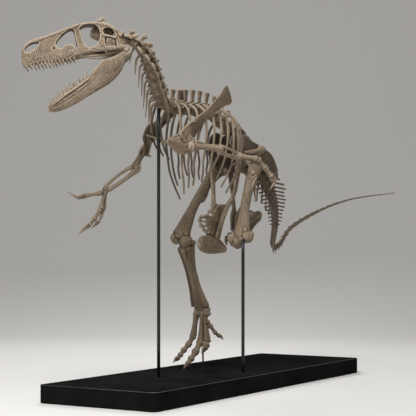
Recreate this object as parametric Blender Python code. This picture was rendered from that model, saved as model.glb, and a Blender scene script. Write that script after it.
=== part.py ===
# Mounted skeleton of a large two-legged meat-eating dinosaur, running, on its plinth and rods
# Metres; +X is the way the animal runs, +Y its left, +Z up, the floor at Z = 0

import math
import random

import bmesh
import bpy
from mathutils import Matrix, Vector

# Stand
PLINTH_LENGTH = 4.08
PLINTH_WIDTH = 1.25
PLINTH_HEIGHT = 0.165
PLINTH_CORNER = 0.05
ROD_RADIUS = 0.016
THIN_ROD_RADIUS = 0.009
CHEST_ROD = (1.04, -0.012)
KNEE_ROD = (0.220, 0.422)
FOOT_ROD = (-0.150, -0.262)

# Gap that neighbours keep
GAP = 0.0003
SOLVER = "MANIFOLD"

# Backbone, from the head to the tip of the tail, by the middles of the vertebrae
NECK = [(1.652, 0.018, 3.222), (1.575, 0.085, 3.19), (1.435, 0.116, 3.086), (1.300, 0.09, 2.965),
        (1.165, 0.055, 2.83), (1.02, 0.0, 2.715)]
BACK = [(1.02, 0.0, 2.715), (0.75, 0.0, 2.70), (0.5, 0.0, 2.715), (0.25, 0.0, 2.72), (0.05, 0.0, 2.69),
        (-0.12, 0.0, 2.62), (-0.28, 0.0, 2.53)]
SACRUM = [(-0.28, 0.0, 2.53), (-0.52, 0.0, 2.40), (-0.80, 0.0, 2.22)]
TAIL = [(-0.80, 0.0, 2.22), (-0.95, 0.01, 2.11), (-1.15, -0.02, 2.0), (-1.40, -0.115, 1.896),
        (-1.65, -0.235, 1.784),
        (-1.90, -0.365, 1.667), (-2.12, -0.50, 1.556), (-2.32, -0.62, 1.46), (-2.50, -0.686, 1.415),
        (-2.68, -0.713, 1.46), (-2.82, -0.731, 1.545), (-2.93, -0.705, 1.646), (-3.08, -0.642, 1.742),
        (-3.28, -0.532, 1.853), (-3.46, -0.41, 1.945), (-3.68, -0.233, 2.033), (-3.88, -0.044, 2.081),
        (-4.10, 0.208, 2.123)]
NECK_COUNT = 9
BACK_COUNT = 11
RIB_WIDE = (0.150, 0.175, 0.200, 0.215, 0.226, 0.232, 0.235, 0.228, 0.214, 0.184, 0.140)
# each rib's reach down, and how far forward of its vertebra it lies at a third of that, low down and at
# its end; the first right ribs are short
RIB_DEEP = {1: (0.83, 0.76, 0.74, 0.70, 0.68, 0.66, 0.66, 0.72, 0.74, 0.62, 0.34),
            -1: (0.40, 0.44, 0.46, 0.84, 0.72, 0.66, 0.62, 0.62, 0.60, 0.50, 0.30)}
RIB_LEAN = {1: ((-0.03, -0.06, -0.16), (-0.03, -0.01, -0.09), (0.0, 0.05, -0.02), (0.0, 0.03, -0.03),
                (0.0, 0.02, 0.0), (0.0, 0.04, 0.16), (0.0, 0.03, 0.08), (0.0, 0.01, 0.10),
                (0.0, 0.0, 0.11), (0.0, 0.0, 0.10), (-0.02, 0.03, 0.08)),
            -1: ((-0.03, -0.03, -0.04), (-0.03, -0.03, -0.05), (-0.02, -0.04, -0.06),
                 (-0.02, -0.06, -0.15), (0.0, 0.0, 0.0), (0.0, 0.0, 0.08), (0.0, 0.02, 0.06),
                 (0.0, 0.01, 0.08), (0.0, 0.0, 0.10), (0.0, 0.0, 0.10), (-0.02, 0.03, 0.08))}
SACRUM_COUNT = 5
NECK_RADIUS = 0.042
BACK_RADIUS = 0.055
TAIL_RADIUS = 0.05

# Head
SKULL_ORIGIN = (1.634, 0.041, 3.099)
SKULL_HEADING = -52.0
SKULL_PITCH = -1.5
JAW_OPEN = 34.5
UPPER_TEETH = 14
LOWER_TEETH = 12

# Legs
HIP_X = -0.36
HIP_Y = 0.16
HIP_Z = 2.18
KNEE_LEFT = (0.168, 0.375, 1.49)
SHIN_LEFT = (0.200, 0.330, 1.435)
ANKLE_LEFT = (-0.492, 0.150, 1.74)
KNEE_RIGHT = (0.235, -0.29, 1.49)
SHIN_RIGHT = (0.150, -0.282, 1.445)
ANKLE_RIGHT = (-0.137, -0.26, 0.752)

# Arms
SHOULDER_X = 0.915
SHOULDER_Y = 0.250
SHOULDER_Z = 2.315
ELBOW_LEFT = (0.600, 0.385, 2.315)
WRIST_LEFT = (0.255, 0.378, 2.276)
ELBOW_RIGHT = (1.162, -0.20, 2.12)
WRIST_RIGHT = (1.328, -0.406, 1.924)

random.seed(7)

for old in list(bpy.data.objects):
    bpy.data.objects.remove(old, do_unlink=True)


# Materials
def material(name, colour, roughness, metallic=0.0):
    made = bpy.data.materials.new(name)
    made.use_nodes = True
    shader = made.node_tree.nodes["Principled BSDF"]
    shader.inputs["Base Color"].default_value = (*colour, 1.0)
    shader.inputs["Roughness"].default_value = roughness
    shader.inputs["Metallic"].default_value = metallic
    return made


bone_pale = material("bone_pale", (0.52, 0.45, 0.37), 0.75)
bone_dark = material("bone_dark", (0.40, 0.35, 0.29), 0.80)
tooth_bone = material("bone_head", (0.56, 0.49, 0.40), 0.70)
stand_black = material("stand_black", (0.02, 0.02, 0.022), 0.45)
rod_steel = material("rod_black", (0.03, 0.03, 0.033), 0.40, 0.6)


# Shapes
def solid(verts, faces):
    mesh = bpy.data.meshes.new("piece")
    mesh.from_pydata([tuple(v) for v in verts], [], faces)
    work = bmesh.new()
    work.from_mesh(mesh)
    bmesh.ops.recalc_face_normals(work, faces=work.faces)
    work.to_mesh(mesh)
    work.free()
    made = bpy.data.objects.new("piece", mesh)
    bpy.context.scene.collection.objects.link(made)
    return made


def loft(rings):
    # rings of equal length, or of one point at an end, joined into one closed body
    verts = []
    first = []
    for ring in rings:
        first.append(len(verts))
        verts.extend(ring)
    faces = []
    for i in range(len(rings) - 1):
        a, b = rings[i], rings[i + 1]
        n = max(len(a), len(b))
        for k in range(n):
            m = (k + 1) % n
            if len(a) == 1:
                faces.append((first[i], first[i + 1] + m, first[i + 1] + k))
            elif len(b) == 1:
                faces.append((first[i] + k, first[i] + m, first[i + 1]))
            else:
                faces.append((first[i] + k, first[i] + m, first[i + 1] + m))
                faces.append((first[i] + k, first[i + 1] + m, first[i + 1] + k))
    for i, turn in ((0, -1), (len(rings) - 1, 1)):
        if len(rings[i]) > 1:
            faces.append([first[i] + k for k in range(len(rings[i]))][::turn])
    return solid(verts, faces)


def sweep(path, sizes, sides=6, up=(0, 0, 1)):
    # sizes are half heights along up and half widths across it
    path = [Vector(p) for p in path]
    up = Vector(up)
    rings = []
    reach = math.sqrt(2.0) if sides == 4 else 1.0
    for i, p in enumerate(path):
        along = (path[min(i + 1, len(path) - 1)] - path[max(i - 1, 0)]).normalized()
        high = (up - up.dot(along) * along).normalized()
        side = along.cross(high)
        a, b = sizes[i]
        if max(a, b) < 1e-6:
            rings.append([p])
            continue
        ring = []
        for k in range(sides):
            turn = 2 * math.pi * (k + 0.5) / sides
            ring.append(p + high * (a * reach * math.cos(turn)) + side * (b * reach * math.sin(turn)))
        rings.append(ring)
    return loft(rings)


def bar(start, end, size, end_size, up=(0, 0, 1)):
    return sweep([start, end], [size, end_size], 4, up)


def ball(middle, radii, sides=8, rings=5, up=(0, 0, 1), forward=(1, 0, 0)):
    # radii along forward, across, and up
    forward = Vector(forward).normalized()
    up = Vector(up)
    up = (up - up.dot(forward) * forward).normalized()
    side = up.cross(forward)
    middle = Vector(middle)
    out = []
    for i in range(rings + 1):
        lean = math.pi * i / rings
        p = middle + forward * (radii[0] * math.cos(lean))
        if i in (0, rings):
            out.append([p])
            continue
        ring = []
        for k in range(sides):
            turn = 2 * math.pi * (k + 0.5) / sides
            ring.append(p + side * (radii[1] * math.sin(lean) * math.sin(turn))
                        + up * (radii[2] * math.sin(lean) * math.cos(turn)))
        out.append(ring)
    return loft(out)


def spline(points, count):
    # points evenly spaced on a smooth curve
    pts = [Vector(p) for p in points]
    ext = [2 * pts[0] - pts[1]] + pts + [2 * pts[-1] - pts[-2]]
    dense = []
    for i in range(1, len(ext) - 2):
        a, b, c, d = ext[i - 1:i + 3]
        for k in range(12):
            t = k / 12
            dense.append(0.5 * (2 * b + (c - a) * t + (2 * a - 5 * b + 4 * c - d) * t * t
                                + (3 * b - a - 3 * c + d) * t ** 3))
    dense.append(pts[-1])
    far = [0.0]
    for p, q in zip(dense, dense[1:]):
        far.append(far[-1] + (q - p).length)
    out = []
    j = 0
    for n in range(count):
        s = far[-1] * n / (count - 1)
        while j < len(dense) - 2 and far[j + 1] < s:
            j += 1
        t = (s - far[j]) / (far[j + 1] - far[j])
        out.append(dense[j].lerp(dense[j + 1], min(max(t, 0.0), 1.0)))
    return out


def clean(made):
    # keeps the largest closed surface
    work = bmesh.new()
    work.from_mesh(made.data)
    bmesh.ops.remove_doubles(work, verts=work.verts, dist=0.000002)
    bmesh.ops.dissolve_degenerate(work, edges=work.edges, dist=0.000002)
    bmesh.ops.triangulate(work, faces=work.faces)
    left = set(work.faces)
    shells = []
    while left:
        stack = [left.pop()]
        shell = []
        while stack:
            face = stack.pop()
            shell.append(face)
            for edge in face.edges:
                for other in edge.link_faces:
                    if other in left:
                        left.remove(other)
                        stack.append(other)
        shells.append(shell)

    def volume(shell):
        total = 0.0
        for face in shell:
            a, b, c = (v.co for v in face.verts)
            total += a.dot(b.cross(c)) / 6
        return total

    shells.sort(key=volume)
    for shell in shells[:-1]:
        bmesh.ops.delete(work, geom=shell, context="FACES")
    loose = [v for v in work.verts if not v.link_faces]
    bmesh.ops.delete(work, geom=loose, context="VERTS")
    work.to_mesh(made.data)
    work.free()


def bake(made):
    # applies the object's modifiers to its mesh
    graph = bpy.context.evaluated_depsgraph_get()
    mesh = bpy.data.meshes.new_from_object(made.evaluated_get(graph))
    made.modifiers.clear()
    made.data = mesh


def union(pieces):
    base = pieces[0]
    if len(pieces) > 1:
        group = bpy.data.collections.new("pieces")
        for piece in pieces[1:]:
            group.objects.link(piece)
        mod = base.modifiers.new("join", "BOOLEAN")
        mod.operation = "UNION"
        mod.operand_type = "COLLECTION"
        mod.collection = group
        mod.solver = SOLVER
        bake(base)
        for piece in pieces[1:]:
            bpy.data.objects.remove(piece, do_unlink=True)
        bpy.data.collections.remove(group)
    clean(base)
    return base


def cut(made, cutter, keep=True):
    mod = made.modifiers.new("cut", "BOOLEAN")
    mod.operation = "DIFFERENCE"
    mod.object = cutter
    mod.solver = SOLVER
    bake(made)
    if not keep:
        bpy.data.objects.remove(cutter, do_unlink=True)
    clean(made)


def swollen(made, gap):
    # a copy whose faces stand off by the gap
    mesh = made.data.copy()
    work = bmesh.new()
    work.from_mesh(mesh)
    work.normal_update()
    moved = [(v, v.normal * gap * min(v.calc_shell_factor(), 4.0)) for v in work.verts]
    for v, step in moved:
        v.co += step
    work.to_mesh(mesh)
    work.free()
    grown = bpy.data.objects.new("grown", mesh)
    bpy.context.scene.collection.objects.link(grown)
    return grown


def seat(name, *others):
    # cuts a node clear of its neighbours, so that they meet face to face
    for other in others:
        wide = 3.6 if name.startswith(("ribcage", "neck", "tail")) else 1.2
        cut(nodes[name], swollen(nodes[other], GAP * wide), keep=False)


nodes = {}
slots = {}


def node(name, pieces, slot, share=1.0):
    # share is the part of the triangles that stays after small ones along the joins are merged
    made = union(pieces)
    if share < 1.0:
        mod = made.modifiers.new("lean", "DECIMATE")
        mod.ratio = share
        bake(made)
        clean(made)
    made.name = name
    made.data.name = name
    nodes[name] = made
    slots[name] = slot
    return made


# Frames along the backbone: middle, way to the tail, up and left
def frames(path):
    out = []
    for i, p in enumerate(path):
        back = (path[min(i + 1, len(path) - 1)] - path[max(i - 1, 0)]).normalized()
        left = Vector((0, 0, 1)).cross(-back).normalized()
        high = (-back).cross(left).normalized()
        out.append((p, back, high, left))
    return out


def centra(points, count, radius, end_radius, sides=6, waist=0.74):
    # one spool after another, two rings to a vertebra
    path = spline(points, count * 2 + 1)
    path[0] = path[0] + (path[1] - path[0]).normalized() * GAP
    sizes = []
    for i in range(len(path)):
        r = radius + (end_radius - radius) * i / (len(path) - 1)
        r *= 1.0 if i % 2 == 0 else waist
        sizes.append((r, r))
    return sweep(path, sizes, sides)


def vertebrae(points, count, radius, end_radius, spine, wing, spine_lean=0.25, wing_rise=0.1, wing_back=0.3,
              spine_long=0.5, haemal=None, haemal_lean=0.5):
    # spools with their spines, side wings and, under a tail, haemal spines
    pieces = [centra(points, count, radius, end_radius)]
    places = frames(spline(points, count * 2 + 1))
    for i in range(count):
        mid, back, high, left = places[2 * i + 1]
        share = i / max(count - 1, 1)
        long = (places[2 * i + 2][0] - places[2 * i][0]).length
        r = radius + (end_radius - radius) * share
        tall = spine(share)
        half = long * spine_long * 0.5
        if tall > 0:
            foot = mid + high * (r * 0.3)
            top = mid + high * (r + tall) + back * (tall * spine_lean)
            pieces.append(bar(foot, top, (half * 0.9, max(r * 0.30, 0.005)), (half, max(r * 0.24, 0.004)),
                              back))
        wide = wing(share)
        if wide > 0:
            rise = high * (r * 0.35 + wide * wing_rise) + back * (wide * wing_back)
            span = r + wide
            root = mid + high * (r * 0.30)
            pieces.append(sweep([mid - left * span + rise, root, mid + left * span + rise],
                                [(half * 0.55, r * 0.16), (half * 0.8, r * 0.26), (half * 0.55, r * 0.16)],
                                4, back))
        deep = haemal(share) if haemal else 0
        if deep > 0:
            joint = mid.lerp(places[2 * i + 2][0], 0.7)
            foot = joint - high * (r * 0.45)
            tip = joint - high * (r + deep) + back * (deep * haemal_lean)
            pieces.append(bar(foot, tip, (half * 0.5, max(r * 0.26, 0.004)),
                              (half * 0.6, max(r * 0.14, 0.003)), back))
    return pieces


# Plinth: a block with rounded corners
def plinth():
    work = bmesh.new()
    bmesh.ops.create_cube(work, size=1.0)
    bmesh.ops.scale(work, vec=(PLINTH_LENGTH, PLINTH_WIDTH, PLINTH_HEIGHT), verts=work.verts)
    bmesh.ops.translate(work, vec=(0, 0, PLINTH_HEIGHT / 2), verts=work.verts)
    posts = [e for e in work.edges if abs(e.verts[0].co.z - e.verts[1].co.z) > 0.01]
    bmesh.ops.bevel(work, geom=posts, offset=PLINTH_CORNER, segments=4, affect="EDGES", profile=0.5)
    rim = [e for e in work.edges if min(v.co.z for v in e.verts) > PLINTH_HEIGHT - 0.001]
    bmesh.ops.bevel(work, geom=rim, offset=0.006, segments=1, affect="EDGES")
    mesh = bpy.data.meshes.new("plinth")
    work.to_mesh(mesh)
    work.free()
    made = bpy.data.objects.new("plinth", mesh)
    bpy.context.scene.collection.objects.link(made)
    return made


node("stand_base", [plinth()], stand_black)


# Rods
def rod(x, y, top, radius, sides=12):
    low = PLINTH_HEIGHT + GAP
    return sweep([(x, y, low), (x, y, top)], [(radius, radius)] * 2, sides, (1, 0, 0))


# Skull, in its own frame: forward from the jaw joint, to its left, and up
def head_frame(pitch):
    turn = Matrix.Rotation(math.radians(SKULL_HEADING), 4, "Z")
    tip = Matrix.Rotation(-math.radians(pitch), 4, "Y")
    return Matrix.Translation(SKULL_ORIGIN) @ turn @ tip


def placed(made, frame):
    made.data.transform(frame)
    return made


# forward, top, bottom, half width of the roof, half width at the tooth row
SKULL_STATIONS = [(0.918, 0.010, -0.085, 0.018, 0.024), (0.888, 0.072, -0.125, 0.040, 0.048),
                  (0.830, 0.110, -0.098, 0.050, 0.060), (0.750, 0.135, -0.082, 0.054, 0.070),
                  (0.640, 0.172, -0.072, 0.056, 0.084), (0.520, 0.214, -0.060, 0.062, 0.102),
                  (0.420, 0.248, -0.036, 0.078, 0.122), (0.320, 0.260, -0.018, 0.092, 0.142),
                  (0.220, 0.262, -0.008, 0.104, 0.156), (0.120, 0.224, 0.000, 0.112, 0.164),
                  (0.050, 0.160, 0.000, 0.100, 0.166), (-0.005, 0.050, 0.002, 0.085, 0.168)]


def head_rings(stations, inset, floor_drop=None):
    rings = []
    for x, top, low, roof, base in stations:
        top -= inset
        low += inset if floor_drop is None else -floor_drop
        roof -= inset * 0.8
        base -= inset
        mid = low + (top - low) * 0.55
        half = [(roof * 0.55, top + 0.006), (roof, top - 0.006), (roof * 0.45 + base * 0.55, mid),
                (base, low + 0.03), (base * 0.82, low)]
        rings.append([(x, y, z) for y, z in half] + [(x, -y, z) for y, z in half[::-1]])
    return rings


def skull():
    pieces = loft(head_rings(SKULL_STATIONS, 0.0))
    hollow = loft(head_rings([s for s in SKULL_STATIONS if 0.1 < s[0] < 0.6], 0.024))
    cut(pieces, hollow, keep=False)
    below = loft(head_rings([s for s in SKULL_STATIONS if 0.1 < s[0] < 0.45], 0.030, 0.05))
    cut(pieces, below, keep=False)

    def window(outline):
        rings = [[(x, y, z) for x, z in outline] for y in (-0.3, 0.3)]
        cut(pieces, loft(rings), keep=False)

    def oval(x, z, a, b, tilt, count=10):
        out = []
        lean = math.radians(tilt)
        for k in range(count):
            turn = 2 * math.pi * k / count
            u, v = a * math.cos(turn), b * math.sin(turn)
            out.append((x + u * math.cos(lean) - v * math.sin(lean),
                        z + u * math.sin(lean) + v * math.cos(lean)))
        return out

    # nostril, the two openings before the eye, the eye, and the one behind it
    window(oval(0.826, 0.052, 0.064, 0.028, 150, 8))
    window(oval(0.632, 0.034, 0.013, 0.012, 0, 6))
    window([(0.615, 0.075), (0.575, 0.135), (0.495, 0.198), (0.452, 0.172), (0.428, 0.035), (0.448, 0.028),
            (0.470, 0.070), (0.530, 0.070), (0.560, 0.036), (0.598, 0.045)])
    window([(0.400, 0.205), (0.340, 0.238), (0.255, 0.220), (0.228, 0.155), (0.242, 0.070), (0.278, 0.038),
            (0.350, 0.038), (0.382, 0.100)])
    window([(0.200, 0.190), (0.160, 0.206), (0.118, 0.186), (0.098, 0.140), (0.112, 0.122), (0.150, 0.132),
            (0.192, 0.148)])
    parts = [pieces]
    # braincase, the knobs over the eyes, and the sockets of the jaw
    parts.append(sweep([(0.27, 0, 0.16), (0.15, 0, 0.15), (0.055, 0, 0.135), (0.018, 0, 0.125)],
                       [(0.05, 0.032), (0.075, 0.045), (0.07, 0.045), (0.022, 0.024)], 8))
    parts.append(sweep([(0.10, 0, 0.16), (0.045, 0, 0.13)], [(0.06, 0.105), (0.055, 0.13)], 6))
    for turn in (1, -1):
        parts.append(sweep([(0.235, turn * 0.07, 0.235), (0.205, turn * 0.088, 0.282),
                            (0.17, turn * 0.085, 0.262)],
                           [(0.02, 0.014), (0.016, 0.012), (0.008, 0.008)], 5))
        parts.append(ball((0.004, turn * 0.148, 0.008), (0.030, 0.030, 0.030), 6, 4))
    # teeth lean back and taper to a point
    for turn in (1, -1):
        for k in range(UPPER_TEETH):
            t = (k + 0.5) / UPPER_TEETH
            x = 0.888 - 0.44 * t
            low, base = station_at(x)
            long = (0.036 + 0.022 * math.sin(math.pi * min(t * 1.25,
                                                           1.0))) * (1.0 + 0.12 * random.uniform(-1, 1))
            y = turn * (base - 0.010)
            thick = 0.0108
            parts.append(sweep([(x, y, low + 0.014), (x - 0.013, y, low - long)],
                               [(thick, 0.0065), (0, 0)], 4, (1, 0, 0)))
    made = union(parts)
    return placed(made, head_frame(SKULL_PITCH))


def station_at(x):
    # bottom height and half width of the upper jaw at a place
    for a, b in zip(SKULL_STATIONS, SKULL_STATIONS[1:]):
        if a[0] >= x >= b[0]:
            t = (a[0] - x) / (a[0] - b[0])
            return a[2] + (b[2] - a[2]) * t, a[4] + (b[4] - a[4]) * t
    return SKULL_STATIONS[0][2], SKULL_STATIONS[0][4]


node("skull", [skull()], tooth_bone, 0.64)

# forward, left, middle height, half height and half thickness of a side of the lower jaw
JAW_STATIONS = [(-0.025, 0.150, -0.022, 0.014, 0.013), (0.0, 0.150, -0.025, 0.024, 0.020),
                (0.056, 0.147, -0.022, 0.036, 0.019), (0.14, 0.140, -0.036, 0.064, 0.018),
                (0.21, 0.130, -0.036, 0.084, 0.016), (0.29, 0.119, -0.045, 0.081, 0.016),
                (0.37, 0.106, -0.052, 0.070, 0.016), (0.44, 0.094, -0.056, 0.059, 0.016),
                (0.57, 0.070, -0.051, 0.059, 0.017), (0.70, 0.045, -0.041, 0.055, 0.018),
                (0.79, 0.024, -0.028, 0.046, 0.018), (0.845, 0.010, -0.010, 0.026, 0.014)]


def jaw():
    parts = []
    for turn in (1, -1):
        parts.append(sweep([(x, turn * y, z) for x, y, z, a, b in JAW_STATIONS],
                           [(a, b) for x, y, z, a, b in JAW_STATIONS], 6))
        for k in range(LOWER_TEETH):
            t = (k + 0.5) / LOWER_TEETH
            x = 0.822 - 0.43 * t
            for a, b in zip(JAW_STATIONS, JAW_STATIONS[1:]):
                if a[0] <= x <= b[0]:
                    s = (x - a[0]) / (b[0] - a[0])
                    y, z, half = (a[i] + (b[i] - a[i]) * s for i in (1, 2, 3))
            long = (0.048 + 0.024 * math.sin(math.pi * t)) * (1.0 + 0.12 * random.uniform(-1, 1))
            top = z + half * 0.85
            y = turn * (y + 0.002)
            thick = 0.0108
            parts.append(sweep([(x, y, top - 0.014), (x - 0.015, y, top + long)],
                               [(thick, 0.0065), (0, 0)], 4, (1, 0, 0)))
    made = union(parts)
    return placed(made, head_frame(SKULL_PITCH - JAW_OPEN))


node("lower_jaw", [jaw()], tooth_bone)


# Neck in two lengths, with its thin ribs lying back along it
def neck_sides(path, count, lengths):
    # the joints between the vertebrae, a chain down each side, and the ribs: the left ones lie along the
    # neck, the right ones hang; there is one length for each pair of ribs
    pieces = []
    places = frames(spline(path, count * 2 + 1))
    for i, long in enumerate(lengths):
        mid, back, high, left = places[2 * i + 1]
        near = places[2 * i][0]
        far = places[2 * i + 2][0]
        for turn in (1, -1):
            side = left * (turn * (NECK_RADIUS + 0.012)) + high * (NECK_RADIUS * 0.55)
            pieces.append(sweep([near + side * 0.92, mid + side * 1.08, far + side * 0.92],
                                [(0.013, 0.014), (0.020, 0.021), (0.013, 0.014)], 4, high))
            pieces.append(bar(mid + high * (NECK_RADIUS * 0.3), mid + side * 1.08, (0.018, 0.014),
                              (0.018, 0.014), back))
            foot = mid + left * (turn * NECK_RADIUS * 0.5) - high * (NECK_RADIUS * 0.4)
            bend = mid + left * (turn * (NECK_RADIUS + 0.028)) - high * (NECK_RADIUS + 0.01) + back * 0.02
            tip = bend + back * long - high * (long * 0.20) + left * (turn * 0.004)
            if turn < 0:
                tip = bend + Vector((0.0, -0.02, -1.15 * long))
            pieces.append(sweep([foot, bend, tip], [(0.014, 0.013), (0.012, 0.011), (0.005, 0.005)], 3,
                                high))
    return pieces


neck_all = spline(NECK, 31)
neck_split = 13
front_neck = [tuple(p) for p in neck_all[:neck_split + 1:3]] + [tuple(neck_all[neck_split])]
rear_neck = [tuple(p) for p in neck_all[neck_split::3]]
if rear_neck[-1] != tuple(neck_all[-1]):
    rear_neck.append(tuple(neck_all[-1]))
node("neck_front", vertebrae(front_neck, 4, NECK_RADIUS * 0.9, NECK_RADIUS, lambda t: 0.070 + 0.020 * t,
                             lambda t: 0.035, 0.3, 0.5, 0.5, 0.6)
     + neck_sides(front_neck, 4, (0.16, 0.16, 0.16, 0.16)), bone_pale, 0.5)
node("neck_rear", vertebrae(rear_neck, 5, NECK_RADIUS, BACK_RADIUS * 0.95, lambda t: 0.085 + 0.030 * t,
                            lambda t: 0.045 + 0.02 * t, 0.15, 0.5, 0.3, 0.55)
     + neck_sides(rear_neck, 5, (0.18, 0.20, 0.22, 0.20)), bone_pale, 0.48)


# Rib cage: the vertebrae of the back with their ribs, as a left and a right half
def rib(i, mid, back, high, turn):
    wide = RIB_WIDE[i]
    deep = RIB_DEEP[turn][i]
    high_lean, low_lean, end_lean = RIB_LEAN[turn][i]
    x, z = mid.x, mid.z

    def at(out, down, lean):
        return (x + lean, turn * out, z - down)

    path = [at(0.02, -0.02, 0.0), at(0.10, -0.045, -0.012), at(wide * 0.96, 0.04, high_lean * 0.5 - 0.02),
            at(wide * 1.10, deep * 0.33, high_lean), at(wide * 1.02, deep * 0.7, low_lean),
            at(wide * 0.74, deep, end_lean)]
    sizes = [(0.017, 0.012), (0.017, 0.012), (0.020, 0.012), (0.019, 0.010), (0.017, 0.009), (0.011, 0.007)]
    return sweep(path, sizes, 4, (1, 0, 0))


def ribcage(turn):
    pieces = vertebrae(BACK, BACK_COUNT, BACK_RADIUS * 0.95, BACK_RADIUS * 1.08,
                       lambda t: 0.115 + 0.03 * math.sin(math.pi * t), lambda t: 0.06, 0.12, 0.55, 0.1,
                       0.66)
    path = spline(BACK, BACK_COUNT * 2 + 1)
    for i in range(BACK_COUNT):
        mid, back, high, left = frames(path)[2 * i + 1]
        pieces.append(rib(i, mid, back, high, turn))
    made = union(pieces)
    low, far = (-1.0, GAP / 2) if turn > 0 else (-GAP / 2, 1.0)
    block = loft([[(x, y, z) for y, z in ((low, 1.0), (far, 1.0), (far, 4.0),
                                          (low, 4.0))] for x in (-2.0, 2.5)])
    cut(made, block, keep=False)
    return made


node("ribcage_left", [ribcage(1)], bone_pale, 0.58)
node("ribcage_right", [ribcage(-1)], bone_dark, 0.55)

# Hip bones
sacral = vertebrae(SACRUM, SACRUM_COUNT, BACK_RADIUS * 1.05, BACK_RADIUS, lambda t: 0.13, lambda t: 0.075,
                   0.1, 0.15, 0.0, 0.95)
node("sacrum", sacral, bone_dark, 0.45)


def ilium(turn):
    # an arched blade over the hip joint, with feet for the pubis and the ischium
    y = turn * 0.150
    top = [(-0.03, 2.43), (-0.07, 2.50), (-0.18, 2.545), (-0.32, 2.52), (-0.50, 2.475), (-0.70, 2.43),
           (-0.90, 2.37), (-1.02, 2.23)]
    low = [(-0.06, 2.36), (-0.11, 2.30), (-0.18, 2.17), (-0.28, 2.215), (-0.44, 2.215), (-0.53, 2.17),
           (-0.72, 2.20), (-0.98, 2.13)]
    rings = []
    for i, ((xt, zt), (xl, zl)) in enumerate(zip(top, low)):
        thick = 0.012 + (0.022 if i in (2, 5) else 0.014 if i in (3, 4) else 0.0)
        inner = y - turn * 0.022
        rings.append([(xt, inner - turn * 0.010, zt), (xt, inner + turn * 0.010, zt),
                      (xl * 0.6 + xt * 0.4, y + turn * 0.012, zl * 0.6 + zt * 0.4),
                      (xl, y + turn * (thick + 0.006), zl),
                      (xl, y - turn * thick, zl)])
    ridge = sweep([(-0.27, y + turn * 0.010, 2.36), (-0.42, y + turn * 0.018, 2.375),
                   (-0.57, y + turn * 0.022, 2.40)],
                  [(0.018, 0.020), (0.024, 0.026), (0.028, 0.028)], 6)
    knob = ball((-0.61, y + turn * 0.014, 2.415), (0.050, 0.042, 0.044), 8, 4)
    return [loft(rings), ridge, knob]


for side, turn in (("left", 1), ("right", -1)):
    node("ilium_" + side, ilium(turn), bone_pale)


def pubis():
    parts = []
    for turn in (1, -1):
        parts.append(sweep([(-0.165, turn * 0.148, 2.20), (-0.14, turn * 0.135, 2.10),
                            (-0.09, turn * 0.10, 1.93),
                            (-0.045, turn * 0.062, 1.78), (0.0, turn * 0.036, 1.62),
                            (0.05, turn * 0.022, 1.46)],
                           [(0.058, 0.026), (0.040, 0.022), (0.027, 0.020), (0.024, 0.028), (0.024, 0.026),
                            (0.05, 0.022)],
                           6, (1, 0, 0)))
    # apron between the shafts and the long foot at their end
    parts.append(sweep([(-0.055, 0, 1.80), (-0.01, 0, 1.64), (0.04, 0, 1.48)],
                       [(0.012, 0.05), (0.012, 0.034), (0.02, 0.02)], 6, (1, 0, 0)))
    parts.append(sweep([(0.355, 0, 1.41), (0.30, 0, 1.418), (0.16, 0, 1.42), (0.0, 0, 1.405),
                        (-0.12, 0, 1.38), (-0.17, 0, 1.37)],
                       [(0.032, 0.022), (0.074, 0.040), (0.098, 0.050), (0.078, 0.046), (0.046, 0.030),
                        (0.018, 0.014)], 8))
    # last belly ribs before the pubis
    for k in range(4):
        z = 1.74 - 0.075 * k
        x = -0.035 + 0.02 * k
        reach = (0.07, 0.13, 0.17, 0.11)[k]
        parts.append(bar((x - 0.01, -0.02, z), (x + reach, -0.05, z - 0.05), (0.016, 0.014),
                         (0.010, 0.010)))
    return parts


node("pubis", pubis(), bone_pale)


def ischium():
    parts = []
    for turn in (1, -1):
        parts.append(sweep([(-0.52, turn * 0.152, 2.22), (-0.50, turn * 0.130, 2.08),
                            (-0.455, turn * 0.085, 1.93),
                            (-0.405, turn * 0.045, 1.80), (-0.37, turn * 0.026, 1.70),
                            (-0.34, turn * 0.018, 1.56)],
                           [(0.052, 0.022), (0.042, 0.018), (0.026, 0.018), (0.030, 0.020), (0.060, 0.030),
                            (0.036, 0.022)],
                           6, (1, 0, 0)))
    return parts


node("ischium", ischium(), bone_dark)


# Shoulder blades, each with its coracoid plate, and the wishbone
def scapula(turn):
    blade = [(0.185, 0.254, 2.897), (0.235, 0.252, 2.868), (0.325, 0.244, 2.812), (0.465, 0.236, 2.722),
             (0.615, 0.228, 2.63),
             (0.765, 0.230, 2.535), (0.880, 0.230, 2.45), (0.955, 0.218, 2.372)]
    sizes = [(0.092, 0.007), (0.098, 0.008), (0.068, 0.010), (0.050, 0.012), (0.046, 0.014),
             (0.054, 0.016), (0.076, 0.020),
             (0.074, 0.020)]
    parts = [sweep([(x, turn * y, z) for x, y, z in blade], sizes, 6)]
    plate = [(0.880, 0.250, 2.385), (0.930, 0.225, 2.350), (0.970, 0.185, 2.332), (1.010, 0.140, 2.345),
             (1.050, 0.092, 2.362)]
    sizes = [(0.070, 0.022), (0.094, 0.020), (0.092, 0.017), (0.060, 0.014), (0.026, 0.010)]
    parts.append(sweep([(x, turn * y, z) for x, y, z in plate], sizes, 6))
    return parts


for side, turn in (("left", 1), ("right", -1)):
    node("scapula_" + side, scapula(turn), bone_pale)
node("wishbone", [sweep([(0.960, 0.205, 2.44), (0.968, 0.105, 2.41), (0.962, 0.0, 2.375),
                         (0.968, -0.105, 2.41), (0.960, -0.205, 2.44)],
                        [(0.012, 0.012), (0.014, 0.012), (0.018, 0.014), (0.014, 0.012), (0.012, 0.012)],
                        6)], bone_pale)


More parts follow.
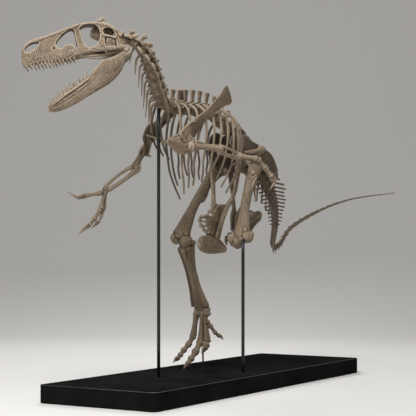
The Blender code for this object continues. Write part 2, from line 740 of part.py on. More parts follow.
# Long bones: a head, a waist and a foot, bowed a little
def long_bone(start, end, head, waist, foot, bow=(0, 0, 0), up=(1, 0, 0), sides=8):
    start, end, bow = Vector(start), Vector(end), Vector(bow)
    marks = (0.0, 0.10, 0.34, 0.66, 0.90, 1.0)
    if sides > 7:
        marks = (0.0, 0.05, 0.17, 0.34, 0.66, 0.83, 0.95, 1.0)
    path, sizes = [], []
    for t in marks:
        path.append(start.lerp(end, t) + bow * (4 * t * (1 - t)))
        if t < 0.5:
            far = max(0.0, 1 - t / 0.34)
            size = [w + (h - w) * far ** 0.8 for h, w in zip(head, waist)]
        else:
            far = max(0.0, 1 - (1 - t) / 0.34)
            size = [w + (f - w) * far ** 0.8 for f, w in zip(foot, waist)]
        if t in (0.0, 1.0):
            size = [s * 0.68 for s in size]
        sizes.append(tuple(size))
    return sweep(path, sizes, sides, up)


def leg(side, turn, knee, shin_top, ankle, up_shin, ankle_wide):
    hip = Vector((HIP_X, turn * HIP_Y, HIP_Z))
    knee, ankle, shin_top = Vector(knee), Vector(ankle), Vector(shin_top)
    out = Vector((0, turn, 0))
    thigh = (knee - hip).normalized()
    front = Vector((1, 0, 0))
    front = (front - front.dot(thigh) * thigh).normalized()
    across = thigh.cross(front)
    top = hip + out * 0.065 - thigh * 0.03
    parts = [long_bone(top, knee, (0.076, 0.064), (0.060, 0.054), (0.068, 0.112), front * 0.035, front, 10)]
    # ball of the hip, the crest below it, and the two rollers of the knee
    parts.append(sweep([top + thigh * 0.05 + out * 0.01, hip - out * 0.005, hip - out * 0.050],
                       [(0.056, 0.052), (0.050, 0.048), (0.030, 0.028)], 8, front))
    parts.append(bar(top + thigh * 0.17, top + thigh * 0.08 + front * 0.092, (0.05, 0.016), (0.03, 0.011),
                     thigh))
    for k in (1, -1):
        parts.append(ball(knee + across * (0.074 * k) - front * 0.024, (0.072, 0.054, 0.068), 8, 4, thigh,
                          front))
    node("femur_" + side, parts, bone_pale)
    shin = (ankle - shin_top).normalized()
    face = Vector(up_shin)
    face = (face - face.dot(shin) * shin).normalized()
    wide = shin.cross(face)
    head = shin_top + shin * 0.03
    parts = [long_bone(head, ankle, (0.088, 0.092), (0.050, 0.047), (0.044, ankle_wide), face * 0.012,
                       face, 10)]
    parts.append(sweep([head + face * 0.03 + shin * 0.00, head + face * 0.092 + shin * 0.05,
                        head + face * 0.045 + shin * 0.19],
                       [(0.034, 0.034), (0.024, 0.018), (0.010, 0.010)], 5, wide))
    node("tibia_" + side, parts, bone_pale)
    outer = wide if wide.dot(out) > 0 else -wide
    begin = head + shin * 0.03 + outer * 0.096 - face * 0.01
    end = ankle - shin * 0.055 + outer * (ankle_wide * 0.86) + face * 0.022
    node("fibula_" + side, [long_bone(begin, end, (0.044, 0.019), (0.018, 0.017), (0.022, 0.020),
                                      outer * -0.024, face, 6)],
         bone_dark)


def digit(path, radius, claw, up=(0, 0, 1), flat=0.6, sides=5, hook=1.0):
    # one bone after another with knuckles between them, then a hooked claw
    pts = [Vector(p) for p in path]
    run, sizes = [pts[0]], [(radius * 0.75, radius * 0.75)]
    for i, (a, b) in enumerate(zip(pts, pts[1:])):
        wide = radius * (0.93 ** i)
        run += [a.lerp(b, 0.10), a.lerp(b, 0.5)]
        sizes += [(wide, wide * 1.05), (wide * 0.66, wide * 0.70)]
    wide = radius * (0.93 ** (len(pts) - 1))
    tip = [Vector(p) for p in claw]
    run += [pts[-1], pts[-1].lerp(tip[0], 0.35), tip[0], tip[1]]
    sizes += [(wide, wide * 0.9), (wide * hook, wide * flat), (wide * 0.66 * hook, wide * flat * 0.7),
              (0.003, 0.0025)]
    return sweep(run, sizes, sides, up)


# Legs: the right one stands, the left one is swung forward and folded
leg("right", -1, KNEE_RIGHT, SHIN_RIGHT, ANKLE_RIGHT, (1, 0, 0), 0.105)
leg("left", 1, KNEE_LEFT, SHIN_LEFT, ANKLE_LEFT, (0.3, 0, -1), 0.085)


def right_foot():
    top = PLINTH_HEIGHT
    ankle = Vector(ANKLE_RIGHT)
    parts = [ball(ankle + Vector((0.0, 0.0, -0.035)), (0.056, 0.104, 0.044), 8, 4)]
    bones = (((-0.125, -0.255, 0.735), (-0.128, -0.198, 0.445)),
             ((-0.120, -0.262, 0.735), (-0.100, -0.262, 0.430)),
             ((-0.118, -0.315, 0.735), (-0.082, -0.338, 0.485)))
    for start, end in bones:
        start = (start[0], (start[1] + 0.285) * 1.4 - 0.275, start[2])
        parts.append(long_bone(start, end, (0.042, 0.036), (0.031, 0.028), (0.040, 0.038), (0, 0, 0),
                               (1, 0, 0), 6))
    parts.append(digit([(-0.105, -0.262, 0.445), (-0.020, -0.272, 0.330), (0.035, -0.290, 0.262),
                        (0.070, -0.300, 0.220)], 0.041,
                       [(0.098, -0.312, 0.200), (0.128, -0.322, top - 0.002)], (0.6, 0, 1)))
    parts.append(digit([(-0.085, -0.338, 0.500), (-0.035, -0.362, 0.405), (0.020, -0.388, 0.345),
                        (0.062, -0.402, 0.300),
                        (0.095, -0.410, 0.268)], 0.036, [(0.130, -0.417, 0.260), (0.168, -0.423, 0.222)],
                       (0.6, 0, 1)))
    parts.append(digit([(-0.130, -0.198, 0.462), (-0.095, -0.190, 0.395), (-0.060, -0.186, 0.365)], 0.038,
                       [(-0.025, -0.184, 0.362), (0.005, -0.184, 0.315)], (0.6, 0, 1)))
    # small first toe, turned in and back
    parts.append(digit([(-0.132, -0.200, 0.640), (-0.150, -0.172, 0.590), (-0.205, -0.150, 0.520),
                        (-0.250, -0.138, 0.490)], 0.028,
                       [(-0.285, -0.128, 0.478), (-0.318, -0.119, 0.440)]))
    return parts


node("foot_right", right_foot(), bone_pale, 0.6)


def left_foot():
    ankle = Vector(ANKLE_LEFT)
    knuckle = Vector((-0.137, 0.165, 1.510))
    way = (knuckle - ankle).normalized()
    side = Vector((0, 1, 0))
    face = way.cross(side).normalized()
    parts = [ball(ankle + way * 0.035, (0.050, 0.084, 0.046), 8, 4, face, way)]
    for k, out in enumerate((0.048, 0.0, -0.048)):
        start = ankle + way * 0.03 + side * out
        end = knuckle + side * (out * 1.15) - way * (0.0 if k == 1 else 0.03)
        parts.append(long_bone(start, end, (0.042, 0.033), (0.029, 0.026), (0.038, 0.033), (0, 0, 0), face,
                               6))
        a = end + Vector((0.075, 0, -0.005)) + side * (out * 0.25)
        b = a + Vector((0.055, 0, -0.035)) + side * (out * 0.2)
        c = b + Vector((0.010, 0, -0.045))
        parts.append(digit([end - way * 0.01, a, b], 0.032 if k == 1 else 0.028,
                           [c, c + Vector((-0.035, 0, -0.03))], (0.5, 0, 1)))
    return parts


node("foot_left", left_foot(), bone_dark, 0.5)


# Arms: the right one reaches forward, the left one is swept back
def arm(side, turn, elbow, wrist):
    shoulder = Vector((SHOULDER_X, turn * SHOULDER_Y, SHOULDER_Z))
    elbow, wrist = Vector(elbow), Vector(wrist)
    upper = (elbow - shoulder).normalized()
    high = Vector((0, 0, 1))
    high = (high - high.dot(upper) * upper).normalized()
    parts = [long_bone(shoulder, elbow, (0.056, 0.042), (0.029, 0.028), (0.036, 0.050), (0, 0, 0.010),
                       high, 8)]
    parts.append(bar(shoulder + upper * 0.15, shoulder + upper * 0.08 + high * 0.055, (0.04, 0.011),
                     (0.025, 0.008), upper))
    node("humerus_" + side, parts, bone_pale)
    fore = (wrist - elbow).normalized()
    lift = Vector((0, 0, 1))
    lift = (lift - lift.dot(fore) * fore).normalized()
    node("ulna_" + side, [long_bone(elbow - fore * 0.03 - lift * 0.024, wrist - lift * 0.020,
                                    (0.036, 0.028), (0.020, 0.019),
                                    (0.022, 0.022), -lift * 0.008, lift, 6)], bone_pale)
    node("radius_" + side, [long_bone(elbow + fore * 0.012 + lift * 0.026, wrist + lift * 0.020,
                                      (0.022, 0.022), (0.014, 0.014),
                                      (0.019, 0.019), lift * 0.012, lift, 6)], bone_pale)


arm("left", 1, ELBOW_LEFT, WRIST_LEFT)
arm("right", -1, ELBOW_RIGHT, WRIST_RIGHT)


def hand(wrist, fingers):
    # wrist, palm bones and fingers in one line each
    parts = [ball(wrist, (0.034, 0.036, 0.034), 6, 4)]
    for joints, claw, radius in fingers:
        parts.append(digit([wrist] + joints, radius, claw, (0.1, 0.05, 1), 0.55, 5, 1.15))
    return parts


node("hand_left", hand(WRIST_LEFT, [
    ([(0.160, 0.440, 2.240), (0.105, 0.475, 2.105)], [(0.100, 0.485, 2.04), (0.155, 0.482, 1.975)], 0.028),
    ([(0.109, 0.520, 2.250), (0.030, 0.565, 2.165), (-0.030, 0.600, 2.085)],
     [(-0.060, 0.625, 2.03), (0.00, 0.600, 1.955)], 0.031),
    ([(0.110, 0.478, 2.225), (0.060, 0.530, 2.185), (0.015, 0.555, 2.160)],
     [(-0.01, 0.570, 2.14), (-0.030, 0.570, 2.095)], 0.021),
]), bone_pale)
node("hand_right", hand(WRIST_RIGHT, [
    ([(1.375, -0.435, 1.885), (1.500, -0.505, 1.858)], [(1.560, -0.555, 1.840), (1.625, -0.625, 1.890)],
     0.026),
    ([(1.385, -0.425, 1.735), (1.435, -0.465, 1.640), (1.460, -0.495, 1.590)],
     [(1.495, -0.53, 1.555), (1.527, -0.585, 1.49)], 0.027),
    ([(1.350, -0.410, 1.745), (1.375, -0.425, 1.670), (1.395, -0.440, 1.62)],
     [(1.415, -0.465, 1.59), (1.435, -0.50, 1.555)], 0.020),
]), bone_pale)

# Tail in five lengths, down and away to one side, then up in a thin whip
tail_dense = spline(TAIL, 121)
TAIL_LENGTHS = [("tail_1", 0, 22, 7), ("tail_2", 22, 44, 7), ("tail_3", 44, 64, 7), ("tail_4", 64, 88, 9),
                ("tail_5", 88, 120, 12)]


def tail_radius(at):
    share = at / 120
    return TAIL_RADIUS * (1 - share) ** 1.15 + 0.007


for name, start, end, count in TAIL_LENGTHS:
    bits = [tuple(p) for p in tail_dense[start:end + 1:4]]
    if bits[-1] != tuple(tail_dense[end]):
        bits.append(tuple(tail_dense[end]))
    a, b = start / 120, end / 120

    def spine_high(t, a=a, b=b):
        s = a + (b - a) * t
        return max(0.0, 0.15 * (1 - s / 0.62)) if s < 0.55 else 0.0

    def wing_wide(t, a=a, b=b):
        s = a + (b - a) * t
        return max(0.0, 0.14 * (1 - s / 0.5)) if s < 0.45 else 0.0

    def under(t, a=a, b=b):
        s = a + (b - a) * t
        return max(0.0, 0.19 * (1 - s / 0.72)) if s < 0.66 else 0.0

    node(name, vertebrae(bits, count, tail_radius(start), tail_radius(end), spine_high, wing_wide, 0.45,
                         0.05, 0.45, 0.5,
                         haemal=under), bone_dark, 0.55)

# Rods under the chest, the swung knee and the standing foot
node("stand_rod_chest", [rod(CHEST_ROD[0], CHEST_ROD[1], 2.70, ROD_RADIUS)], rod_steel)
node("stand_rod_knee", [rod(KNEE_ROD[0], KNEE_ROD[1], 1.47, ROD_RADIUS)], rod_steel)
node("stand_rod_foot", [rod(FOOT_ROD[0], FOOT_ROD[1], 0.42, THIN_ROD_RADIUS, 8)], rod_steel)

# Neighbours meet face to face
SEATS = [("lower_jaw", "skull"), ("neck_front", "skull lower_jaw"), ("neck_rear", "neck_front"),
         ("ribcage_left", "neck_rear ilium_left"), ("ribcage_right", "neck_rear ilium_right"),
         ("sacrum", "ilium_left ilium_right ribcage_left ribcage_right"),
         ("tail_1", "sacrum ilium_left ilium_right"), ("tail_2", "tail_1"), ("tail_3", "tail_2"),
         ("tail_4", "tail_3"),
         ("tail_5", "tail_4")]
for side in ("left", "right"):
    SEATS += [(name + side if name.endswith("_") else name, against.replace("*", side)) for name,
              against in (
        ("ilium_", "femur_*"), ("pubis", "ilium_* femur_* ribcage_*"), ("ischium", "ilium_* femur_*"),
                          ("tibia_", "femur_*"),
        ("fibula_", "femur_* tibia_*"), ("foot_", "tibia_* fibula_*"), ("humerus_", "ribcage_*"),
        ("scapula_", "ribcage_* humerus_*"), ("ulna_", "humerus_*"), ("radius_", "humerus_* ulna_*"),
                          ("hand_", "radius_* ulna_*"))]
SEATS += [("wishbone", "scapula_left scapula_right"), ("foot_right", "stand_base"), ("foot_left", "pubis"),
          ("stand_rod_chest", "ribcage_left ribcage_right neck_rear"),
          ("stand_rod_knee", "femur_left tibia_left fibula_left"),
          ("stand_rod_foot", "foot_right")]
for name, against in SEATS:
    seat(name, *against.split())

# One empty holds the whole mount, and each node turns about its own middle
mount = bpy.data.objects.new("mount", None)
bpy.context.scene.collection.objects.link(mount)
for name, made in nodes.items():
    corners = [Vector(c) for c in made.bound_box]
    middle = sum(corners, Vector()) / 8
    made.data.transform(Matrix.Translation(-middle))
    made.location = middle
    made.parent = mount
    made.data.materials.clear()
    made.data.materials.append(slots[name])
    made.data.shade_smooth()
    made.data.set_sharp_from_angle(angle=math.radians(40))
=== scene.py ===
import math
import random

import bmesh
import bpy
import numpy as np
from mathutils import Matrix, Vector


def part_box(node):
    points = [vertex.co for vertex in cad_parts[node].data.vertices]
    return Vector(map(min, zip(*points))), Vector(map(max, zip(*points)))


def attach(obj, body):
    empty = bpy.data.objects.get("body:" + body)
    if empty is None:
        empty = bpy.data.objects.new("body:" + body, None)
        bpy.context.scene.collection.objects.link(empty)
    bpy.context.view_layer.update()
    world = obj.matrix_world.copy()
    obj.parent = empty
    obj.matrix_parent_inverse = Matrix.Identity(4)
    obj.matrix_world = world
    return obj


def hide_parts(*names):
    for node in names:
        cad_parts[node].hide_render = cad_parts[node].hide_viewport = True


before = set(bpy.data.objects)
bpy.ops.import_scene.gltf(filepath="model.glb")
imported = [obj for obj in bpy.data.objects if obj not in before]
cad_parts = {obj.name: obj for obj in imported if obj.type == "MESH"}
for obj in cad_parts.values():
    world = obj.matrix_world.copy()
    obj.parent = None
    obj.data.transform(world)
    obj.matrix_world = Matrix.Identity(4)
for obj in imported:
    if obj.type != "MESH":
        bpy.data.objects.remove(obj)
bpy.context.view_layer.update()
random.seed(11)


# every bone is a handful of skinned tubes and lumps, melted together
def smoothRows(rows, steps, closed=False):
    # Catmull-Rom through rows of numbers
    rows = np.asarray(rows, dtype=float)
    n = len(rows)
    if closed:
        ext = np.vstack([rows[-1:], rows, rows[:2]])
        spans = n
    else:
        ext = np.vstack([2 * rows[:1] - rows[1:2], rows, 2 * rows[-1:] - rows[-2:-1]])
        spans = n - 1
    out = []
    for i in range(spans):
        a, b, c, d = ext[i:i + 4]
        for k in range(steps):
            t = k / steps
            out.append(0.5 * (2 * b + (c - a) * t + (2 * a - 5 * b + 4 * c - d) * t * t
                              + (3 * b - a - 3 * c + d) * t ** 3))
    if not closed:
        out.append(rows[-1])
    return np.array(out)


def evenly(points, count):
    # points at equal steps along a smooth line
    dense = smoothRows(points, 12)
    gaps = np.linalg.norm(np.diff(dense, axis=0), axis=1)
    far = np.concatenate([[0], np.cumsum(gaps)])
    want = np.linspace(0, far[-1], count)
    return [Vector([np.interp(w, far, dense[:, k]) for k in range(3)]) for w in want]


def wrap(rings):
    # closed skin over rings of equal length, with a fan at each end
    n = len(rings[0])
    verts = [tuple(p) for ring in rings for p in ring]
    faces = []
    for i in range(len(rings) - 1):
        for k in range(n):
            m = (k + 1) % n
            faces.append((i * n + k, i * n + m, (i + 1) * n + m, (i + 1) * n + k))
    for i, turn in ((0, -1), (len(rings) - 1, 1)):
        mid = np.mean(np.array([tuple(p) for p in rings[i]]), axis=0)
        verts.append(tuple(mid))
        hub = len(verts) - 1
        for k in range(n):
            m = (k + 1) % n
            pair = (i * n + k, i * n + m)
            faces.append((pair[0], pair[1], hub) if turn > 0 else (pair[1], pair[0], hub))
    return [(verts, faces)]


def squareTo(vector, axis):
    # what of a vector lies at right angles to an axis, made one long
    return (vector - vector.dot(axis) * axis).normalized()


def tube(points, up=(0, 0, 1), sides=12, steps=4, cap=0.6):
    # points: x, y, z, half size along up, half size across; the ends are domed by cap
    rows = smoothRows(points, steps)
    up = Vector(up)
    middles = [Vector(r[:3]) for r in rows]
    rings = []
    last = len(rows) - 1
    for i, r in enumerate(rows):
        along = (middles[min(i + 1, last)] - middles[max(i - 1, 0)]).normalized()
        high = squareTo(up, along)
        side = along.cross(high)
        a, b = max(r[3], 0.0004), max(r[4], 0.0004)
        here = [(0.0, 1.0)]
        if i == 0 and cap > 0:
            here = [(-cap, 0.30), (-cap * 0.75, 0.68), (-cap * 0.35, 0.92), (0.0, 1.0)]
        if i == last and cap > 0:
            here = [(0.0, 1.0), (cap * 0.35, 0.92), (cap * 0.75, 0.68), (cap, 0.30)]
        for shift, grow in here:
            mid = middles[i] + along * (shift * min(a, b))
            ring = []
            for k in range(sides):
                turn = 2 * math.pi * k / sides
                ring.append(mid + high * (a * grow * math.cos(turn)) + side * (b * grow * math.sin(turn)))
            rings.append(ring)
    return wrap(rings)


def lump(middle, radii, forward=(1, 0, 0), up=(0, 0, 1), sides=14, rings=9):
    # radii along forward, across, and up
    forward = Vector(forward).normalized()
    up = squareTo(Vector(up), forward)
    side = up.cross(forward)
    middle = Vector(middle)
    out = []
    for i in range(1, rings):
        lean = math.pi * i / rings
        ring = []
        for k in range(sides):
            turn = 2 * math.pi * k / sides
            ring.append(middle + forward * (radii[0] * math.cos(lean)) + side
                        * (radii[1] * math.sin(lean) * math.sin(turn))
                        + up * (radii[2] * math.sin(lean) * math.cos(turn)))
        out.append(ring)
    return wrap(out)


def skin(rings, steps=4, around=3):
    # smooth skin through a few control rings
    fine = [smoothRows(ring, around, closed=True) for ring in rings]
    n = len(fine[0])
    flat = smoothRows([f.reshape(-1) for f in fine], steps)
    return wrap([row.reshape(n, 3) for row in flat])


def meshFrom(parts, name):
    verts, faces = [], []
    for v, f in parts:
        base = len(verts)
        verts.extend(v)
        faces.extend(tuple(base + k for k in face) for face in f)
    mesh = bpy.data.meshes.new(name)
    mesh.from_pydata(verts, [], faces)
    work = bmesh.new()
    work.from_mesh(mesh)
    bmesh.ops.recalc_face_normals(work, faces=work.faces)
    work.to_mesh(mesh)
    work.free()
    made = bpy.data.objects.new(name, mesh)
    bpy.context.scene.collection.objects.link(made)
    return made


def applyAll(made):
    graph = bpy.context.evaluated_depsgraph_get()
    mesh = bpy.data.meshes.new_from_object(made.evaluated_get(graph))
    old = made.data
    made.modifiers.clear()
    made.data = mesh
    bpy.data.meshes.remove(old)


def cloudTexture(name, size, depth=2):
    made = bpy.data.textures.new(name, "CLOUDS")
    made.noise_scale = size
    made.noise_depth = depth
    made.noise_basis = "ORIGINAL_PERLIN"
    return made


broadClouds = cloudTexture("broadClouds", 0.075)
fineClouds = cloudTexture("fineClouds", 0.020, 3)


def wear(made, broad, fine):
    # broad swells and fine roughness
    for texture, amount in ((broadClouds, broad), (fineClouds, fine)):
        mod = made.modifiers.new("wear", "DISPLACE")
        mod.texture = texture
        mod.texture_coords = "LOCAL"
        mod.strength = amount
        mod.mid_level = 0.5


meltSet = {"quickVoxel": 1.5, "softness": 0.5}


def melt(made, voxel, soften, broad, fine):
    # one surface out of overlapping parts, softened, then worn uneven
    mod = made.modifiers.new("melt", "REMESH")
    mod.mode = "VOXEL"
    mod.voxel_size = voxel
    mod = made.modifiers.new("soften", "SMOOTH")
    mod.factor = meltSet["softness"]
    mod.iterations = soften
    wear(made, broad, fine)
    applyAll(made)


def roughen(made, broad=0.002, fine=0.0012):
    wear(made, broad, fine)
    applyAll(made)


thinSet = {"from": 20000, "share": 0.34}


def thinOut(made):
    # fewer faces where a bone is nearly flat
    if len(made.data.polygons) < thinSet["from"]:
        return
    mod = made.modifiers.new("thin", "DECIMATE")
    mod.ratio = thinSet["share"]
    applyAll(made)


def pointsOf(mesh):
    # places and normals of all corners
    co = np.empty(len(mesh.vertices) * 3)
    mesh.vertices.foreach_get("co", co)
    normals = np.empty(len(mesh.vertices) * 3)
    mesh.vertex_normals.foreach_get("vector", normals)
    return co.reshape(-1, 3), normals.reshape(-1, 3)


# settings of the ridge and hollow measure, which gives pale worn ridges and painted shade in the hollows
wearShadeSet = {"rounds": 6, "blurs": 2, "strongest": 90, "grainStretch": 0.12}


def markWearShadeAndGrain(made):
    # ridges above 0.5 and hollows below: the bone material pales the ridges as wear and paints shade into the
    # hollows; grain: place along the bone's own long way
    mesh = made.data
    co, normals = pointsOf(mesh)
    n = len(co)
    edges = np.empty(len(mesh.edges) * 2, dtype=np.int64)
    mesh.edges.foreach_get("vertices", edges)
    edges = edges.reshape(-1, 2)
    count = np.bincount(edges.ravel(), minlength=n).astype(float)
    count[count == 0] = 1

    def around(values):
        total = np.zeros_like(values)
        for k in range(values.shape[1]):
            total[:, k] = (np.bincount(edges[:, 0], values[edges[:, 1], k], n)
                           + np.bincount(edges[:, 1], values[edges[:, 0], k], n)) / count
        return total

    soft = co
    for _ in range(wearShadeSet["rounds"]):
        soft = 0.5 * soft + 0.5 * around(soft)
    lift = np.einsum("ij,ij->i", co - soft, normals)[:, None]
    for _ in range(wearShadeSet["blurs"]):
        lift = 0.5 * lift + 0.5 * around(lift)
    spread = np.percentile(np.abs(lift), wearShadeSet["strongest"]) + 1e-9
    wearAndShade = np.clip(0.5 + 0.5 * lift[:, 0] / spread, 0, 1).astype(np.float32)
    mesh.attributes.new("wearAndShade", "FLOAT", "POINT").data.foreach_set("value", wearAndShade)
    fromMiddle = co - co.mean(axis=0)
    axes = np.linalg.eigh(fromMiddle.T @ fromMiddle)[1]
    grain = fromMiddle @ axes
    grain[:, 2] *= wearShadeSet["grainStretch"]
    grain = grain.astype(np.float32).ravel()
    mesh.attributes.new("grain", "FLOAT_VECTOR", "POINT").data.foreach_set("vector", grain)


def carve(made, lines, width, depth):
    # grooves along lines of the side view, on the outer faces of both sides
    co, normals = pointsOf(made.data)
    flat = co[:, (0, 2)]
    push = np.zeros(len(co))
    for line in lines:
        dense = smoothRows(line, 6) if len(line) > 2 else np.asarray(line, dtype=float)
        for a, b in zip(dense, dense[1:]):
            low, high = np.minimum(a, b) - width * 3, np.maximum(a, b) + width * 3
            near = np.nonzero(np.all((flat > low) & (flat < high), axis=1))[0]
            if not len(near):
                continue
            way = b - a
            t = np.clip((flat[near] - a) @ way / max(way @ way, 1e-12), 0, 1)
            off = flat[near] - a - t[:, None] * way
            push[near] = np.maximum(push[near], np.exp(-(off ** 2).sum(axis=1) / width ** 2))
    outer = np.clip(normals[:, 1] * np.sign(co[:, 1]), 0, 1) ** 0.5
    co -= normals * (push * outer * depth)[:, None]
    made.data.vertices.foreach_set("co", co.ravel())
    made.data.update()


def nodeTree(name):
    made = bpy.data.materials.new(name)
    made.use_nodes = True
    tree = made.node_tree
    tree.nodes.clear()
    return made, tree


def addNode(tree, kind, links=None, **values):
    made = tree.nodes.new(kind)
    for key, value in values.items():
        setattr(made, key, value)
    for key, value in (links or {}).items():
        if isinstance(value, bpy.types.NodeSocket):
            tree.links.new(value, made.inputs[key])
        else:
            made.inputs[key].default_value = value
    return made


def ramp(tree, source, stops):
    made = tree.nodes.new("ShaderNodeValToRGB")
    tree.links.new(source, made.inputs[0])
    bar = made.color_ramp
    while len(bar.elements) > 1:
        bar.elements.remove(bar.elements[-1])
    bar.elements[0].position, bar.elements[0].color = stops[0][0], (*stops[0][1], 1)
    for place, colour in stops[1:]:
        bar.elements.new(place).color = (*colour, 1)
    return made.outputs[0]


def mixColour(tree, factor, a, b):
    made = tree.nodes.new("ShaderNodeMix")
    made.data_type = "RGBA"
    for key, value in ((0, factor), (6, a), (7, b)):
        if isinstance(value, bpy.types.NodeSocket):
            tree.links.new(value, made.inputs[key])
        elif key == 0:
            made.inputs[key].default_value = value
        else:
            made.inputs[key].default_value = (*value, 1)
    return made.outputs[2]


def noise(tree, vector, scale, detail, rough=0.5):
    values = {"Vector": vector, "Scale": scale, "Detail": detail, "Roughness": rough}
    return addNode(tree, "ShaderNodeTexNoise", values).outputs["Fac"]


def surface(tree, values):
    shader = addNode(tree, "ShaderNodeBsdfPrincipled", values)
    tree.links.new(shader.outputs[0], addNode(tree, "ShaderNodeOutputMaterial").inputs[0])


# dark, mid and light mottle the bone; the darkest colour is painted shade in the hollows and also the colour
# of the cracks
boneFinish = {"dark": (0.062, 0.042, 0.026), "mid": (0.140, 0.101, 0.066), "light": (0.250, 0.190, 0.130),
              "ochre": (0.33, 0.170, 0.055), "cream": (0.42, 0.345, 0.255), "hollowShadeAndCrack": (0.020, 0.014, 0.010)}


def boneMaterial(name, tone, ochre, ridge):
    made, tree = nodeTree(name)

    def shade(key):
        return tuple(min(c * tone, 1.0) for c in boneFinish[key])

    place = addNode(tree, "ShaderNodeTexCoord").outputs["Object"]
    grain = addNode(tree, "ShaderNodeAttribute", attribute_name="grain").outputs["Vector"]
    wearAndShade = addNode(tree, "ShaderNodeAttribute", attribute_name="wearAndShade").outputs["Fac"]
    big = noise(tree, place, 5.0, 4.0, 0.6)
    small = noise(tree, place, 42.0, 6.0, 0.7)
    streak = noise(tree, grain, 30.0, 4.0, 0.6)
    pits = addNode(tree, "ShaderNodeTexVoronoi", {"Vector": place, "Scale": 190.0}).outputs["Distance"]
    cracks = addNode(tree, "ShaderNodeTexVoronoi", {"Vector": grain, "Scale": 26.0},
                     feature="DISTANCE_TO_EDGE").outputs["Distance"]

    base = ramp(tree, big, [(0.30, shade("dark")), (0.48, shade("mid")), (0.68, shade("light"))])
    mottled = ramp(tree, small, [(0.32, shade("dark")), (0.5, shade("mid")), (0.66, shade("light"))])
    colour = mixColour(tree, 0.45, base, mottled)
    band = ramp(tree, streak, [(0.52, (0, 0, 0)), (0.70, (ochre, ochre, ochre))])
    colour = mixColour(tree, band, colour, shade("ochre"))
    high = ramp(tree, wearAndShade, [(0.52, (0, 0, 0)), (0.95, (ridge, ridge, ridge))])
    colour = mixColour(tree, high, colour, shade("cream"))
    # painted shade: the hollows are darkened almost to black
    low = ramp(tree, wearAndShade, [(0.05, (0.85, 0.85, 0.85)), (0.46, (0, 0, 0))])
    colour = mixColour(tree, low, colour, shade("hollowShadeAndCrack"))
    line = ramp(tree, cracks, [(0.0, (0.55, 0.55, 0.55)), (0.035, (0, 0, 0))])
    colour = mixColour(tree, line, colour, shade("hollowShadeAndCrack"))

    rough = addNode(tree, "ShaderNodeMapRange", {"Value": small, "To Min": 0.50, "To Max": 0.82}).outputs[0]
    height = addNode(tree, "ShaderNodeMath", {0: small, 1: 0.6}, operation="MULTIPLY").outputs[0]
    height = addNode(tree, "ShaderNodeMath", {0: pits, 1: 0.5, 2: height},
                     operation="MULTIPLY_ADD").outputs[0]
    height = addNode(tree, "ShaderNodeMath", {0: streak, 1: 0.5, 2: height},
                     operation="MULTIPLY_ADD").outputs[0]
    bump = addNode(tree, "ShaderNodeBump", {"Height": height, "Strength": 0.75, "Distance": 0.006}).outputs[0]
    surface(tree, {"Base Color": colour, "Roughness": rough, "Normal": bump, "Specular IOR Level": 0.35})
    return made


def toothMaterial():
    made, tree = nodeTree("toothEnamel")
    place = addNode(tree, "ShaderNodeTexCoord").outputs["Object"]
    small = noise(tree, place, 60.0, 4.0)
    colour = ramp(tree, small, [(0.3, (0.10, 0.072, 0.05)), (0.5, (0.30, 0.235, 0.16)),
                                (0.7, (0.46, 0.38, 0.28))])
    bump = addNode(tree, "ShaderNodeBump", {"Height": small, "Strength": 0.3, "Distance": 0.002}).outputs[0]
    surface(tree, {"Base Color": colour, "Roughness": 0.34, "Normal": bump})
    return made


def blackPaint(name, colour, roughness, scale, bumpiness, shine):
    made, tree = nodeTree(name)
    place = addNode(tree, "ShaderNodeTexCoord").outputs["Object"]
    smear = noise(tree, place, scale, 5.0, 0.65)
    dust = ramp(tree, smear, [(0.35, colour), (0.75, tuple(c * 1.8 + 0.002 for c in colour))])
    rough = addNode(tree, "ShaderNodeMapRange", {"Value": smear, "To Min": roughness - 0.10,
                                                 "To Max": roughness + 0.14}).outputs[0]
    grit = noise(tree, place, 320.0, 2.0)
    bump = addNode(tree, "ShaderNodeBump", {"Height": grit, "Strength": bumpiness,
                                            "Distance": 0.001}).outputs[0]
    surface(tree, {"Base Color": dust, "Roughness": rough, "Normal": bump, "Specular IOR Level": shine})
    return made


# how light, how much ochre in the streaks, how pale the worn ridges; the dark copy is painted shade for parts
# on the far side or lying in shadow, and the bright and head copies are painted light for the parts the lamps
# fall on most
boneTones = {"paleBone": (0.98, 0.45, 0.6), "shadedBone": (0.62, 0.30, 0.45), "litHeadBone": (1.12, 0.22, 0.6),
             "legBone": (0.92, 0.70, 0.5), "litBone": (1.20, 0.35, 0.6)}
paleBone, shadedBone, litHeadBone, legBone, litBone = [boneMaterial(name, *boneTones[name])
                                                     for name in boneTones]
enamel = toothMaterial()
plinthPaint = blackPaint("plinthPaint", (0.0075, 0.0075, 0.0078), 0.55, 2.2, 0.10, 0.0)
# the rim paint is lighter than the plinth paint: a painted highlight along the top bevel, with some real
# shine
plinthRimHighlight = blackPaint("plinthRimHighlight", (0.022, 0.022, 0.023), 0.38, 14.0, 0.06, 0.30)
rodPaint = blackPaint("rodPaint", (0.010, 0.010, 0.011), 0.34, 9.0, 0.05, 0.35)


def setInPlace(made, material, nodes, slot, smooth=True):
    # finish, shading, and what the piece stands for
    made.data.materials.clear()
    made.data.materials.append(material)
    if smooth:
        made.data.shade_smooth()
    markWearShadeAndGrain(made)
    thinOut(made)
    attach(made, "root")
    if nodes:
        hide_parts(*nodes)
    print("piece", made.name, len(made.data.polygons))


def meltedBone(parts, name, shape, finish, nodes, slot):
    # shape: voxel, rounds of softening, broad and fine wear
    made = meshFrom(parts, name)
    melt(made, *shape)
    setInPlace(made, finish, nodes, slot)


def mirror(rows, turn):
    # rows given for the left side, put on the left (1) or the right (-1)
    return [(x, turn * y, *rest) for x, y, *rest in rows]


